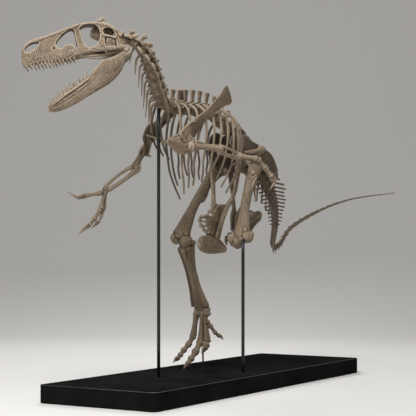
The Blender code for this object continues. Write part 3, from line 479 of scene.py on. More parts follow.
neckLine = [(1.652, 0.018, 3.222), (1.575, 0.085, 3.19), (1.435, 0.116, 3.086), (1.300, 0.09, 2.965),
            (1.165, 0.055, 2.83), (1.02, 0.0, 2.715)]
backLine = [(1.02, 0.0, 2.715), (0.75, 0.0, 2.70), (0.5, 0.0, 2.715), (0.25, 0.0, 2.72), (0.05, 0.0, 2.69),
            (-0.12, 0.0, 2.62), (-0.28, 0.0, 2.53)]
sacrumLine = [(-0.28, 0.0, 2.53), (-0.52, 0.0, 2.40), (-0.80, 0.0, 2.22)]
tailLine = [(-0.80, 0.0, 2.22), (-0.95, 0.01, 2.11), (-1.15, -0.02, 2.0), (-1.40, -0.115, 1.896),
            (-1.65, -0.235, 1.784), (-1.90, -0.365, 1.667), (-2.12, -0.50, 1.556), (-2.32, -0.62, 1.46),
            (-2.50, -0.686, 1.415), (-2.68, -0.713, 1.46), (-2.82, -0.731, 1.545), (-2.93, -0.705, 1.646),
            (-3.08, -0.642, 1.742), (-3.28, -0.532, 1.853), (-3.46, -0.41, 1.945), (-3.68, -0.233, 2.033),
            (-3.88, -0.044, 2.081), (-4.10, 0.208, 2.123)]


def stations(points, count):
    # middle, way to the tail, up and left, at each vertebra and each joint between
    path = evenly(points, count * 2 + 1)
    out = []
    for i, p in enumerate(path):
        back = (path[min(i + 1, len(path) - 1)] - path[max(i - 1, 0)]).normalized()
        left = Vector((0, 0, 1)).cross(-back).normalized()
        out.append((p, back, (-back).cross(left).normalized(), left))
    return out


def vertebra(place, long, r, form):
    # spool, arch, spine, wings and joint pegs; form names their sizes
    mid, back, high, left = place
    parts = []

    def at(b, h, l):
        p = mid + back * b + high * h + left * l
        return (p.x, p.y, p.z)

    half = long * 0.46
    waist = form.get("waist", 0.70)
    parts += tube([(*at(-half, 0, 0), r, r), (*at(-half * 0.75, 0, 0), r * 1.02, r * 1.02),
                   (*at(0, -r * 0.05, 0), r * waist, r * waist), (*at(half * 0.75, 0, 0), r * 1.04, r * 1.04),
                   (*at(half, 0, 0), r * 1.02, r * 1.02)], high, 14, 3, 0.12)
    tall = form.get("spine", 0)
    arch = form.get("arch", 0.9)
    if arch > 0:
        parts += lump(at(-long * 0.02, r * arch, 0), (long * 0.36, r * 0.52, r * 0.55), back, high, 10, 7)
    if tall > 0:
        lean = form.get("lean", 0.2)
        wide = long * form.get("spineLong", 0.55) * 0.5
        thick = max(form.get("spineThick", 0.26) * r, 0.0045)
        parts += tube([(*at(0, r * 0.7, 0), wide * 1.15, thick * 1.5),
                       (*at(tall * lean * 0.3, r + tall * 0.3, 0), wide * 0.82, thick * 0.8),
                       (*at(tall * lean * 0.7, r + tall * 0.72, 0), wide * 0.92, thick * 0.9),
                       (*at(tall * lean, r + tall * 0.96, 0), wide * 1.08, thick * 1.5)], back, 10, 3, 0.5)
    wing = form.get("wing", 0)
    if wing > 0:
        rise, sweep = form.get("wingRise", 0.2), form.get("wingBack", 0.3)
        for turn in (1, -1):
            span = r + wing
            parts += tube([(*at(0, r * 0.55, turn * r * 0.4), long * 0.20, r * 0.30),
                           (*at(wing * sweep * 0.4, r * 0.6 + wing * rise * 0.4,
                                turn * (r * 0.7 + wing * 0.35)), long * 0.15, r * 0.17),
                           (*at(wing * sweep, r * 0.5 + wing * rise, turn * span), long * 0.17, r * 0.20)],
                          back, 10, 3, 0.6)
    if form.get("joints", 0) > 0:
        j = form["joints"]
        for turn in (1, -1):
            parts += tube([(*at(-long * 0.15, r * 1.0, turn * r * 0.35), r * 0.22, r * 0.20),
                           (*at(-long * 0.62, r * (1.25 + 0.2 * j), turn * r * 0.55 * j), r * 0.17,
                            r * 0.15)], high, 8, 2, 0.8)
            parts += tube([(*at(long * 0.15, r * 1.05, turn * r * 0.30), r * 0.22, r * 0.20),
                           (*at(long * 0.50, r * (1.35 + 0.15 * j), turn * r * 0.42 * j), r * 0.17,
                            r * 0.15)], high, 8, 2, 0.8)
    return parts


def disc(place, r, thick):
    mid, back, high = place[:3]
    a, b = mid - back * thick, mid + back * thick
    return tube([(*a, r, r), (*b, r, r)], high, 14, 2, 0.1)


neckSet = {"count": 9, "radius": 0.040, "endRadius": 0.052, "flare": 0.013,
           "shape": (0.0032, 2, 0.004, 0.0018), "spines": (0.052, 0.094, 0.100, 0.104, 0.104, 0.106, 0.108,
                                                           0.110, 0.114),
           "alongRibs": (0.0, 0.11, 0.13, 0.15, 0.17, 0.18, 0.20, 0.21, 0.19),
           "hungRibs": (0.0, 0.10, 0.14, 0.19, 0.21, 0.22, 0.23, 0.24, 0.24)}
neckPlaces = stations(neckLine, neckSet["count"])
discs = []


def neckBone(i):
    place = neckPlaces[2 * i + 1]
    mid, back, high, left = place
    share = i / (neckSet["count"] - 1)
    long = (neckPlaces[2 * i + 2][0] - neckPlaces[2 * i][0]).length
    r = neckSet["radius"] + (neckSet["endRadius"] - neckSet["radius"]) * share
    parts = vertebra(place, long, r, {"spine": neckSet["spines"][i], "lean": 0.28, "spineLong": 0.50,
                                      "spineThick": 0.26, "wing": 0.028 + 0.015 * share, "wingRise": -0.35,
                                      "wingBack": 0.35, "arch": 0.95, "waist": 0.76})
    thin = []
    spine = neckSet["spines"][i]
    parts += lump(mid + high * (r + spine * 0.84) + back * (spine * 0.30), (0.026, 0.015, 0.017),
                  back + high * 0.3, high)
    for turn in (1, -1):
        # front joint face, the bar behind it, and the rear face with the knob above it
        side = left * (turn * (r + neckSet["flare"]))
        front = mid - back * (long * 0.50) + side * 0.94 + high * (r * 0.42)
        middle = mid + side * 1.04 + high * (r * 0.58)
        rear = mid + back * (long * 0.42) + side * 0.96 + high * (r * 0.86)
        knob = rear + back * 0.014 + high * (r * 0.55) + left * (turn * 0.008)
        if i < neckSet["count"] - 1:
            parts += tube([(*front, 0.012, 0.015), (*middle, 0.014, 0.016), (*rear, 0.016, 0.016)], high, 12,
                          4, 0.8)
            parts += tube([(*rear, 0.017, 0.016), (*knob, 0.013, 0.013)], back, 10, 3, 0.9)
        parts += tube([(*(mid + high * (r * 0.55)), 0.020, 0.015), (*middle, 0.017, 0.013)], back, 10, 3, 0.5)
        if i == 0:
            continue
        # the left ribs lie along the neck, the right ones hang
        root = mid + left * (turn * r * 0.5) - high * (r * 0.4)
        bend = mid + left * (turn * (r + 0.024)) - high * (r + 0.008) + back * 0.02
        if turn > 0:
            far = neckSet["alongRibs"][i] * random.uniform(0.94, 1.04)
            tip = bend + back * far - high * (far * 0.20)
        else:
            far = neckSet["hungRibs"][i] * random.uniform(0.92, 1.04)
            tip = bend + Vector((random.uniform(-0.012, 0.004), -0.02, -far))
        middle = bend.lerp(tip, 0.45) - high * 0.006
        thin += tube([(*root, 0.012, 0.010), (*bend, 0.0115, 0.010), (*middle, 0.0078, 0.0068),
                      (*tip, 0.0035, 0.003)],
                     left, 10, 6, 0.6)
    return parts, thin, r, long


neckParts = []
neckRibs = []
for i in range(neckSet["count"]):
    parts, thin, r, long = neckBone(i)
    neckParts += parts
    neckRibs += thin
    if i:
        discs += disc(neckPlaces[2 * i], r * 0.88, long * 0.08)
# the neck bones take the bright bone copy: painted light for the lit near side
meltedBone(neckParts, "neckBones", neckSet["shape"], litBone, ["neck_front", "neck_rear"], "pale_bone")
neckRibObject = meshFrom(neckRibs, "neckRibs")
roughen(neckRibObject, 0.002, 0.001)
setInPlace(neckRibObject, paleBone, [], "pale_bone")

backSet = {"count": 11, "radius": 0.052, "endRadius": 0.060, "shape": (0.004, 2, 0.004, 0.0015)}
backPlaces = stations(backLine, backSet["count"])
backParts = []
for i in range(backSet["count"]):
    t = i / (backSet["count"] - 1)
    long = (backPlaces[2 * i + 2][0] - backPlaces[2 * i][0]).length
    r = backSet["radius"] + (backSet["endRadius"] - backSet["radius"]) * t
    form = {"spine": 0.115 + 0.03 * math.sin(math.pi * t), "lean": 0.12, "spineLong": 0.62,
            "spineThick": 0.26, "wing": 0.06, "wingRise": 0.55, "wingBack": 0.1, "joints": 1.1}
    backParts += vertebra(backPlaces[2 * i + 1], long, r, form)
    discs += disc(backPlaces[2 * i], r * 0.9, long * 0.07)
meltedBone(backParts, "backbone", backSet["shape"], paleBone, ["ribcage_left", "ribcage_right"], "dark_bone")
print("stage backbone")


# deep is each rib's reach, left (1) and right (-1)
# lean is how far forward it lies at a third of that, low down and at its end
ribSet = {"wide": (0.150, 0.175, 0.200, 0.215, 0.226, 0.232, 0.235, 0.228, 0.214, 0.184, 0.140),
          "deep": {1: (0.83, 0.76, 0.74, 0.70, 0.68, 0.66, 0.66, 0.72, 0.74, 0.62, 0.34),
                   -1: (0.40, 0.44, 0.46, 0.84, 0.72, 0.66, 0.62, 0.62, 0.60, 0.50, 0.30)},
          "lean": {1: ((-0.03, -0.06, -0.16), (-0.03, -0.01, -0.09), (0.0, 0.05, -0.02), (0.0, 0.03, -0.03),
                       (0.0, 0.02, 0.0), (0.0, 0.04, 0.16), (0.0, 0.03, 0.08), (0.0, 0.01, 0.10),
                       (0.0, 0.0, 0.11), (0.0, 0.0, 0.10), (-0.02, 0.03, 0.08)),
                   -1: ((-0.03, -0.03, -0.04), (-0.03, -0.03, -0.05), (-0.02, -0.04, -0.06),
                        (-0.02, -0.06, -0.15), (0.0, 0.0, 0.0), (0.0, 0.0, 0.08), (0.0, 0.02, 0.06),
                        (0.0, 0.01, 0.08), (0.0, 0.0, 0.10), (0.0, 0.0, 0.10), (-0.02, 0.03, 0.08))}}


def rib(i, turn):
    mid = backPlaces[2 * i + 1][0]
    wide = ribSet["wide"][i]
    deep = ribSet["deep"][turn][i] * random.uniform(0.985, 1.01)
    upperLean, lowLean, endLean = ribSet["lean"][turn][i]
    x, z = mid.x, mid.z

    def at(out, down, lean):
        return (x + lean, turn * out, z - down)

    blade = tube([(*at(0.030, -0.005, 0.0), 0.013, 0.011), (*at(0.085, -0.036, -0.008), 0.013, 0.011),
                  (*at(wide * 0.62, -0.034, -0.014), 0.015, 0.012),
                  (*at(wide * 0.96, 0.04, upperLean * 0.5 - 0.02), 0.0165, 0.011),
                  (*at(wide * 1.10, deep * 0.33, upperLean), 0.016, 0.0095),
                  (*at(wide * 1.09, deep * 0.52, upperLean * 0.45 + lowLean * 0.55), 0.0155, 0.009),
                  (*at(wide * 1.02, deep * 0.70, lowLean), 0.0145, 0.0085),
                  (*at(wide * 0.90, deep * 0.87, lowLean * 0.4 + endLean * 0.6), 0.0125, 0.0085),
                  (*at(wide * 0.74, deep, endLean), 0.0105, 0.0085)], (1, 0, 0), 12, 6, 0.7)
    # second head of the rib, and the ridge down its outer face
    knob = tube([(*at(0.088, -0.058, -0.008), 0.012, 0.010),
                 (*at(wide * 0.55, -0.045, -0.014), 0.013, 0.010)], (1, 0, 0), 8, 3, 0.7)
    ridge = tube([(*at(wide * 0.98, 0.03, upperLean * 0.5 - 0.026), 0.005, 0.006),
                  (*at(wide * 1.10 + 0.007, deep * 0.33, upperLean - 0.006), 0.0055, 0.006),
                  (*at(wide * 1.02 + 0.006, deep * 0.70, lowLean - 0.005), 0.004, 0.005)], (1, 0, 0), 8, 10,
                 0.6)
    return blade + knob + ridge


# the right ribs, on the far side, take the dark bone copy: painted shade
for side, turn, finish, slotName in (("Left", 1, paleBone, "pale_bone"),
                                     ("Right", -1, shadedBone, "dark_bone")):
    parts = []
    for i in range(backSet["count"]):
        parts += rib(i, turn)
    ribs = meshFrom(parts, "ribs" + side)
    roughen(ribs, 0.004, 0.0015)
    setInPlace(ribs, finish, [], slotName)
print("stage ribs")


# spines, wings and chevrons each fade out at a share of the tail's length, and then only spools follow
tailSet = {"count": 42, "radius": 0.050, "tipRadius": 0.0065, "spine": 0.15, "spineEnd": 0.50, "wing": 0.14,
           "wingEnd": 0.36, "chevron": 0.19, "chevronEnd": 0.66, "shape": (0.0035, 2, 0.003, 0.0012)}
tailPlaces = stations(tailLine, tailSet["count"])
tailParts = []
for i in range(tailSet["count"]):
    s = (i + 0.5) / tailSet["count"]
    place = tailPlaces[2 * i + 1]
    back, high, left = place[1:]
    long = (tailPlaces[2 * i + 2][0] - tailPlaces[2 * i][0]).length
    r = tailSet["radius"] * (1 - s) ** 1.15 + tailSet["tipRadius"]
    uneven = random.uniform(0.86, 1.12)
    tall = tailSet["spine"] * (1 - s / tailSet["spineEnd"]) * uneven if s < 0.48 else 0.0
    wing = tailSet["wing"] * (1 - s / tailSet["wingEnd"]) * uneven if s < 0.33 else 0.0
    form = {"spine": tall, "lean": 0.85, "spineLong": 0.42, "spineThick": 0.24, "wing": wing, "wingRise": 0.0,
            "wingBack": 0.45, "joints": 0.9 if s < 0.75 else 0.0, "arch": 0.8 if s < 0.8 else 0.5,
            "waist": 0.72}
    tailParts += vertebra(place, long, r, form)
    deep = tailSet["chevron"] * (1 - s / tailSet["chevronEnd"]) * uneven if s < 0.60 else 0.0
    if deep > 0:
        joint = tailPlaces[2 * i + 2][0]
        for turn in (1, -1):
            a = joint - high * (r * 0.8) + left * (turn * r * 0.4)
            b = joint - high * (r + deep * 0.35) + back * (deep * 0.2)
            tailParts += tube([(*a, r * 0.2, r * 0.18), (*b, r * 0.2, r * 0.16)], back, 8, 2, 0.6)
        b = joint - high * (r + deep * 0.3) + back * (deep * 0.15)
        c = joint - high * (r + deep) + back * (deep * 0.5)
        tailParts += tube([(*b, r * 0.2, r * 0.16), (*b.lerp(c, 0.6), r * 0.24, r * 0.14),
                           (*c, r * 0.34, r * 0.18)], back, 8, 3, 0.6)
    if i:
        discs += disc(tailPlaces[2 * i], r * 0.85, long * 0.06)
# the tail takes the dark bone copy: painted shade, as the tail lies in shadow
meltedBone(tailParts, "tailBones", tailSet["shape"], shadedBone,
           ["tail_1", "tail_2", "tail_3", "tail_4", "tail_5"], "dark_bone")
# dark discs in the gaps between the vertebrae: painted shade standing for the shadow lines in those gaps
gapShade = meshFrom(discs, "gapShade")
setInPlace(gapShade, shadedBone, [], "dark_bone")
print("stage tail")


headSet = {"origin": (1.634, 0.041, 3.099), "heading": -52.0, "pitch": -1.5, "jawOpen": 34.5, "voxel": 0.003}


def headFrame(pitch):
    turn = Matrix.Rotation(math.radians(headSet["heading"]), 4, "Z") @ Matrix.Rotation(-math.radians(pitch),
                                                                                       4, "Y")
    return Matrix.Translation(headSet["origin"]) @ turn


# forward, top, bottom, half width of the roof, half width at the tooth row
skullStations = [(0.918, 0.010, -0.085, 0.018, 0.024), (0.900, 0.050, -0.115, 0.034, 0.042),
                 (0.878, 0.080, -0.124, 0.044, 0.052), (0.830, 0.112, -0.100, 0.050, 0.060),
                 (0.750, 0.137, -0.082, 0.054, 0.070), (0.640, 0.172, -0.072, 0.056, 0.084),
                 (0.520, 0.216, -0.060, 0.062, 0.102), (0.420, 0.248, -0.036, 0.078, 0.122),
                 (0.320, 0.260, -0.018, 0.092, 0.142), (0.220, 0.262, -0.008, 0.104, 0.156),
                 (0.120, 0.224, 0.000, 0.112, 0.164), (0.050, 0.160, 0.000, 0.100, 0.166),
                 (-0.005, 0.060, 0.002, 0.085, 0.168)]


def headRing(x, top, low, roof, base):
    span = top - low
    half = [(0.0, top - 0.010), (roof * 0.45, top - 0.003), (roof * 0.85, top), (roof * 1.02, top - 0.014),
            (roof * 0.98, top - span * 0.18), (roof * 0.65 + base * 0.35, low + span * 0.55),
            (roof * 0.3 + base * 0.70, low + span * 0.34), (base, low + 0.040), (base, low + 0.014),
            (base * 0.86, low), (base * 0.45, low + 0.010), (0.0, low + 0.016)]
    return [(x, y, z) for y, z in half] + [(x, -y, z) for y, z in half[-2:0:-1]]


def rowAt(rows, x):
    rows = sorted(rows)
    for a, b in zip(rows, rows[1:]):
        if a[0] <= x <= b[0]:
            s = (x - a[0]) / (b[0] - a[0])
            return [p + (q - p) * s for p, q in zip(a, b)]
    return list(rows[-1])


def cutOut(made, parts):
    cutter = meshFrom(parts, "cutter")
    mod = made.modifiers.new("cut", "BOOLEAN")
    mod.operation = "DIFFERENCE"
    mod.solver = "MANIFOLD"
    mod.object = cutter
    applyAll(made)
    bpy.data.objects.remove(cutter, do_unlink=True)


def windowCutter(outline, low=-0.3, high=0.3):
    line = smoothRows(outline, 5, closed=True)
    return wrap([[(x, y, z) for x, z in line] for y in (low, high)])


skull = meshFrom(skin([headRing(*s) for s in skullStations], 5, 3), "skullBone")


def innerRings(start, end, top, low, roof, base):
    # rings of the skull pulled in by these amounts
    return [headRing(x, t - top, b + low, r - roof, w - base) for x, t, b, r,
            w in skullStations if start < x < end]


cutOut(skull, skin(innerRings(0.09, 0.66, 0.020, 0.020, 0.018, 0.022), 4, 3))
cutOut(skull, skin(innerRings(0.09, 0.45, 0.05, -0.06, 0.03, 0.034), 4, 3))
openings = {
    "nostril": [(0.888, 0.030), (0.870, 0.058), (0.835, 0.080), (0.795, 0.094), (0.766, 0.090),
                (0.766, 0.060), (0.805, 0.028), (0.850, 0.004), (0.882, 0.004)],
    "smallFront": [(0.645, 0.034), (0.632, 0.046), (0.619, 0.034), (0.632, 0.022)],
    "front": [(0.618, 0.070), (0.600, 0.110), (0.560, 0.155), (0.510, 0.195), (0.470, 0.205), (0.450, 0.170),
              (0.440, 0.100), (0.428, 0.040), (0.445, 0.026), (0.464, 0.050), (0.498, 0.066), (0.538, 0.058),
              (0.560, 0.032), (0.590, 0.038)],
    "eye": [(0.404, 0.205), (0.375, 0.232), (0.320, 0.243), (0.262, 0.228), (0.232, 0.170), (0.236, 0.100),
            (0.262, 0.048), (0.305, 0.030), (0.350, 0.038), (0.372, 0.075), (0.392, 0.140)],
    "rearTop": [(0.200, 0.190), (0.160, 0.206), (0.118, 0.186), (0.098, 0.140), (0.112, 0.122),
                (0.150, 0.134), (0.192, 0.150)],
    "rearLow": [(0.188, 0.122), (0.150, 0.120), (0.106, 0.112), (0.090, 0.080), (0.092, 0.038),
                (0.120, 0.028), (0.165, 0.028), (0.186, 0.050), (0.191, 0.090)],
}
nose = []
for x in (0.765, 0.80, 0.84, 0.872):
    top, low, roof, base = rowAt(skullStations, x)[1:]
    nose.append(headRing(x, top - 0.022, low + 0.045, roof - 0.013, base - 0.020))
cutOut(skull, skin(nose, 4, 3))
for name, outline in openings.items():
    cutOut(skull, windowCutter(outline))
# braincase
extra = tube([(0.30, 0, 0.175, 0.040, 0.026), (0.22, 0, 0.165, 0.066, 0.034), (0.13, 0, 0.15, 0.078, 0.046),
              (0.055, 0, 0.135, 0.070, 0.048), (0.012, 0, 0.118, 0.024, 0.024)], (0, 0, 1), 14, 4, 0.5)
extra += tube([(0.10, 0, 0.165, 0.050, 0.100), (0.045, 0, 0.135, 0.050, 0.125)], (0, 0, 1), 14, 3, 0.3)
for turn in (1, -1):
    # knob on the brow, cheek bar, jaw socket
    extra += tube(mirror([(0.250, 0.078, 0.246, 0.022, 0.014), (0.222, 0.088, 0.272, 0.020, 0.013),
                          (0.205, 0.092, 0.290, 0.013, 0.010), (0.186, 0.086, 0.272, 0.010, 0.010)], turn),
                  (1, 0, 0), 10, 4, 0.7)
    extra += tube(mirror([(0.500, 0.100, -0.014, 0.026, 0.006), (0.380, 0.122, 0.004, 0.022, 0.008),
                          (0.240, 0.149, 0.014, 0.020, 0.009), (0.100, 0.162, 0.020, 0.018, 0.009)], turn),
                  (0, 0, 1), 10, 5, 0.6)
    extra += lump((0.004, turn * 0.148, 0.004), (0.030, 0.030, 0.032))
    # plate sunk in the lower rear opening, bar above it, palate strut, lobe in the front opening
    extra += lump((0.138, turn * 0.124, 0.072), (0.042, 0.013, 0.058))
    extra += tube(mirror([(0.205, 0.128, 0.136, 0.012, 0.011), (0.150, 0.134, 0.126, 0.009, 0.010),
                          (0.095, 0.136, 0.112, 0.013, 0.011)], turn), (0, 0, 1), 10, 4, 0.5)
    extra += tube(mirror([(0.44, 0.036, -0.012, 0.009, 0.010), (0.30, 0.060, -0.034, 0.008, 0.012),
                          (0.17, 0.095, -0.022, 0.012, 0.007), (0.06, 0.120, 0.01, 0.016, 0.009)], turn),
                  (0, 0, 1), 8, 4, 0.5)
    extra += tube(mirror([(0.52, 0.088, -0.005, 0.012, 0.010), (0.505, 0.084, 0.035, 0.010, 0.008),
                          (0.480, 0.082, 0.060, 0.008, 0.008)], turn), (1, 0, 0), 8, 4, 0.6)
lumps = meshFrom(extra, "skullLumps")
work = bmesh.new()
work.from_mesh(skull.data)
work.from_mesh(lumps.data)
work.to_mesh(skull.data)
work.free()
bpy.data.objects.remove(lumps, do_unlink=True)
melt(skull, headSet["voxel"], 3, 0.005, 0.0022)
seams = [[(0.800, 0.040), (0.786, 0.005), (0.776, -0.040), (0.770, -0.090)],
         [(0.768, 0.094), (0.700, 0.122), (0.620, 0.152), (0.540, 0.190), (0.480, 0.222)],
         [(0.520, -0.050), (0.480, -0.030), (0.452, 0.000), (0.436, 0.030)],
         [(0.440, 0.200), (0.420, 0.225), (0.400, 0.240)], [(0.236, 0.060), (0.222, 0.040), (0.200, 0.030)],
         [(0.232, 0.150), (0.215, 0.168), (0.200, 0.186)], [(0.090, 0.030), (0.066, 0.050), (0.050, 0.090)],
         [(0.330, 0.030), (0.290, 0.012), (0.250, 0.002)]]
carve(skull, seams, 0.0034, 0.0032)


def marks(start, step, count, long, low, high):
    # short lines above the tooth row, side by side
    places = [start + step * k for k in range(count)]
    return [[(x, rowAt(skullStations, x)[2] + low), (x + long, rowAt(skullStations, x)[2] + high)]
            for x in places]


# two rows of pits for vessels, then fine strokes at the gum
carve(skull, marks(0.50, 0.049, 8, 0.004, 0.050, 0.054) + marks(0.58, 0.083, 4, 0.003, 0.078, 0.080), 0.0038,
      0.0045)
carve(skull, marks(0.47, 0.0155, 27, 0.005, 0.012, 0.034), 0.0034, 0.0018)
skull.data.transform(headFrame(headSet["pitch"]))
# the skull takes the head bone copy, painted lighter: painted light, as the lamps fall on the head most
setInPlace(skull, litHeadBone, ["skull"], "head_bone")


def tooth(x, y, z, down, long, thick, lean):
    # curved, flattened, sharp
    rows = []
    for t, wide in ((-0.25, 0.9), (0.0, 1.0), (0.35, 0.86), (0.65, 0.58), (0.88, 0.28), (1.0, 0.06)):
        rows.append((x - lean * t * t * long, y, z + down * long * t, thick * wide, thick * 0.62 * wide))
    return tube(rows, (1, 0, 0), 10, 2, 0.2)


# count, place of the first and length of each row; jitter moves a tooth along it
toothSet = {"upper": (14, 0.888, 0.44), "lower": (12, 0.822, 0.43), "jitter": 0.003, "thick": 0.0095,
            "curve": 0.40}


def toothRow(key):
    # how far back in its row and how far forward on the head each tooth stands, one after another
    count, first, row = toothSet[key]
    for k in range(count):
        t = (k + 0.5) / count
        yield t, first - row * t + random.uniform(-toothSet["jitter"], toothSet["jitter"])


upper = []
for turn in (1, -1):
    for t, x in toothRow("upper"):
        x, _, low, _, base = rowAt(skullStations, x)
        long = (0.036 + 0.024 * math.sin(math.pi * min(t * 1.25, 1.0))) * random.uniform(0.84, 1.12)
        upper += tooth(x, turn * (base * 0.88), low + 0.006, -1, long, toothSet["thick"], toothSet["curve"])
upperTeeth = meshFrom(upper, "upperTeeth")
upperTeeth.data.transform(headFrame(headSet["pitch"]))
setInPlace(upperTeeth, enamel, [], "head_bone")

# forward, left, middle height, half height and half thickness of a side of the lower jaw
jawStations = [(-0.025, 0.150, -0.022, 0.014, 0.013), (0.0, 0.150, -0.025, 0.024, 0.020),
               (0.056, 0.147, -0.022, 0.036, 0.019), (0.14, 0.140, -0.036, 0.064, 0.018),
               (0.21, 0.130, -0.036, 0.084, 0.016), (0.29, 0.119, -0.045, 0.081, 0.016),
               (0.37, 0.106, -0.052, 0.070, 0.016), (0.44, 0.094, -0.056, 0.059, 0.016),
               (0.57, 0.070, -0.051, 0.059, 0.017), (0.70, 0.045, -0.041, 0.055, 0.018),
               (0.79, 0.024, -0.028, 0.046, 0.018), (0.845, 0.010, -0.010, 0.026, 0.014)]
parts = []
lower = []
for turn in (1, -1):
    parts += tube([(x, turn * y, z, a, b * 0.85) for x, y, z, a, b in jawStations], (0, 0, 1), 16, 4, 0.6)
    # shelf below the joint, and the lip along the tooth row
    for rows in ([(0.02, 0.151, -0.018, 0.020, 0.011), (0.14, 0.141, -0.006, 0.020, 0.011),
                  (0.27, 0.118, 0.002, 0.018, 0.010), (0.38, 0.098, -0.002, 0.014, 0.008)],
                 [(0.42, 0.099, -0.006, 0.014, 0.014), (0.57, 0.073, -0.004, 0.014, 0.018),
                  (0.70, 0.047, -0.002, 0.014, 0.019), (0.80, 0.023, -0.004, 0.013, 0.017)]):
        parts += tube(mirror(rows, turn), (0, 0, 1), 10, 4, 0.6)
    for t, x in toothRow("lower"):
        row = rowAt(jawStations, x)
        long = (0.048 + 0.026 * math.sin(math.pi * t)) * random.uniform(0.84, 1.12)
        lower += tooth(x, turn * (row[1] + 0.002), row[2] + row[3] * 0.87, 1, long, toothSet["thick"],
                       toothSet["curve"])
jaw = meshFrom(parts, "lowerJaw")
melt(jaw, headSet["voxel"], 3, 0.005, 0.002)
carve(jaw, [[(0.800, -0.026), (0.700, -0.040), (0.580, -0.048), (0.480, -0.046), (0.400, -0.040)]], 0.006,
      0.0022)
carve(jaw, [[(x, -0.020), (x + 0.004, -0.018)] for x in (0.54 + 0.045 * k for k in range(6))], 0.0038, 0.0045)
jaw.data.transform(headFrame(headSet["pitch"] - headSet["jawOpen"]))
# the lower jaw also takes the lighter head copy: painted light
setInPlace(jaw, litHeadBone, ["lower_jaw"], "head_bone")
lowerTeeth = meshFrom(lower, "lowerTeeth")
lowerTeeth.data.transform(headFrame(headSet["pitch"] - headSet["jawOpen"]))
setInPlace(lowerTeeth, enamel, [], "head_bone")
print("stage head")


shoulderSet = {
    "blade": [(0.187, 0.254, 2.895, 0.088, 0.006), (0.235, 0.252, 2.868, 0.097, 0.008),
              (0.325, 0.244, 2.812, 0.067, 0.009), (0.465, 0.236, 2.722, 0.053, 0.011),
              (0.615, 0.228, 2.63, 0.050, 0.013), (0.765, 0.230, 2.535, 0.062, 0.015),
              (0.880, 0.230, 2.45, 0.090, 0.018), (0.955, 0.218, 2.372, 0.088, 0.019)],
    "plate": [(0.880, 0.250, 2.385, 0.068, 0.020), (0.930, 0.225, 2.350, 0.093, 0.019),
              (0.970, 0.185, 2.332, 0.091, 0.016), (1.010, 0.140, 2.345, 0.060, 0.013),
              (1.050, 0.092, 2.362, 0.026, 0.009)],
    "rim": [(0.865, 0.258, 2.392, 0.022, 0.018), (0.900, 0.266, 2.350, 0.021, 0.017),
            (0.935, 0.262, 2.300, 0.019, 0.015)],
    "flange": [(0.800, 0.238, 2.560, 0.012, 0.012), (0.870, 0.236, 2.545, 0.015, 0.013),
               (0.935, 0.228, 2.500, 0.014, 0.012)],
    "spur": [(0.930, 0.236, 2.290, 0.016, 0.013), (0.905, 0.226, 2.262, 0.012, 0.010),
             (0.875, 0.216, 2.252, 0.008, 0.008)],
}
for side, turn in (("Left", 1), ("Right", -1)):
    parts = []
    for key in shoulderSet:
        parts += tube(mirror(shoulderSet[key], turn), (0, 0, 1), 18, 5, 0.8)
    # the right shoulder blade, on the far side, takes the dark bone copy: painted shade
    meltedBone(parts, "shoulderBlade" + side, (0.0035, 3, 0.004, 0.0018), paleBone if turn > 0 else shadedBone,
               ["scapula_" + side.lower()], "pale_bone")
wishLine = [(0.960, 0.200, 2.44, 0.012, 0.011), (0.968, 0.105, 2.41, 0.013, 0.011),
            (0.962, 0.0, 2.375, 0.017, 0.013), (0.968, -0.105, 2.41, 0.013, 0.011),
            (0.960, -0.200, 2.44, 0.012, 0.011)]
wish = meshFrom(tube(wishLine, (0, 0, 1), 12, 6, 0.7), "wishBone")
roughen(wish)
setInPlace(wish, paleBone, ["wishbone"], "pale_bone")


def shaft(start, end, head, waist, foot, bow=(0, 0, 0), up=(1, 0, 0), sides=16):
    # half sizes along up and across, at the head, the waist and the foot
    start, end, bow = Vector(start), Vector(end), Vector(bow)
    rows = []
    for t in (0.0, 0.04, 0.12, 0.24, 0.38, 0.5, 0.62, 0.76, 0.88, 0.96, 1.0):
        p = start.lerp(end, t) + bow * (4 * t * (1 - t))
        near = max(0.0, 1 - t / 0.36) if t < 0.5 else max(0.0, 1 - (1 - t) / 0.36)
        wide = head if t < 0.5 else foot
        size = [w + (h - w) * near ** 1.1 for h, w in zip(wide, waist)]
        if t in (0.0, 1.0):
            size = [s * 0.8 for s in size]
        rows.append((*p, *size))
    return tube(rows, up, sides, 3, 0.5)


# steps from the top of a bone along it and forward, then half height and half thickness
# for the shin the step forward comes first; for the upper arm it goes up
crestSet = {
    "thighFront": ((0.19, 0.02, 0.012, 0.020), (0.12, 0.065, 0.014, 0.036), (0.05, 0.075, 0.012, 0.026)),
    "thighBack": ((0.24, -0.03, 0.016, 0.014), (0.31, -0.060, 0.017, 0.017), (0.37, -0.072, 0.013, 0.014),
                  (0.41, -0.060, 0.008, 0.009)),
    "shin": ((0.02, -0.005, 0.036, 0.034), (0.080, 0.035, 0.026, 0.016), (0.070, 0.11, 0.018, 0.012),
             (0.035, 0.20, 0.012, 0.010)),
    "upperArm": ((0.05, 0.03, 0.012, 0.012), (0.11, 0.050, 0.011, 0.018), (0.17, 0.020, 0.010, 0.014)),
}


def crest(name, start, first, second, up, sides=12, cap=0.7):
    rows = [(*(start + first * a + second * b), high, wide) for a, b, high, wide in crestSet[name]]
    return tube(rows, up, sides, 4, cap)


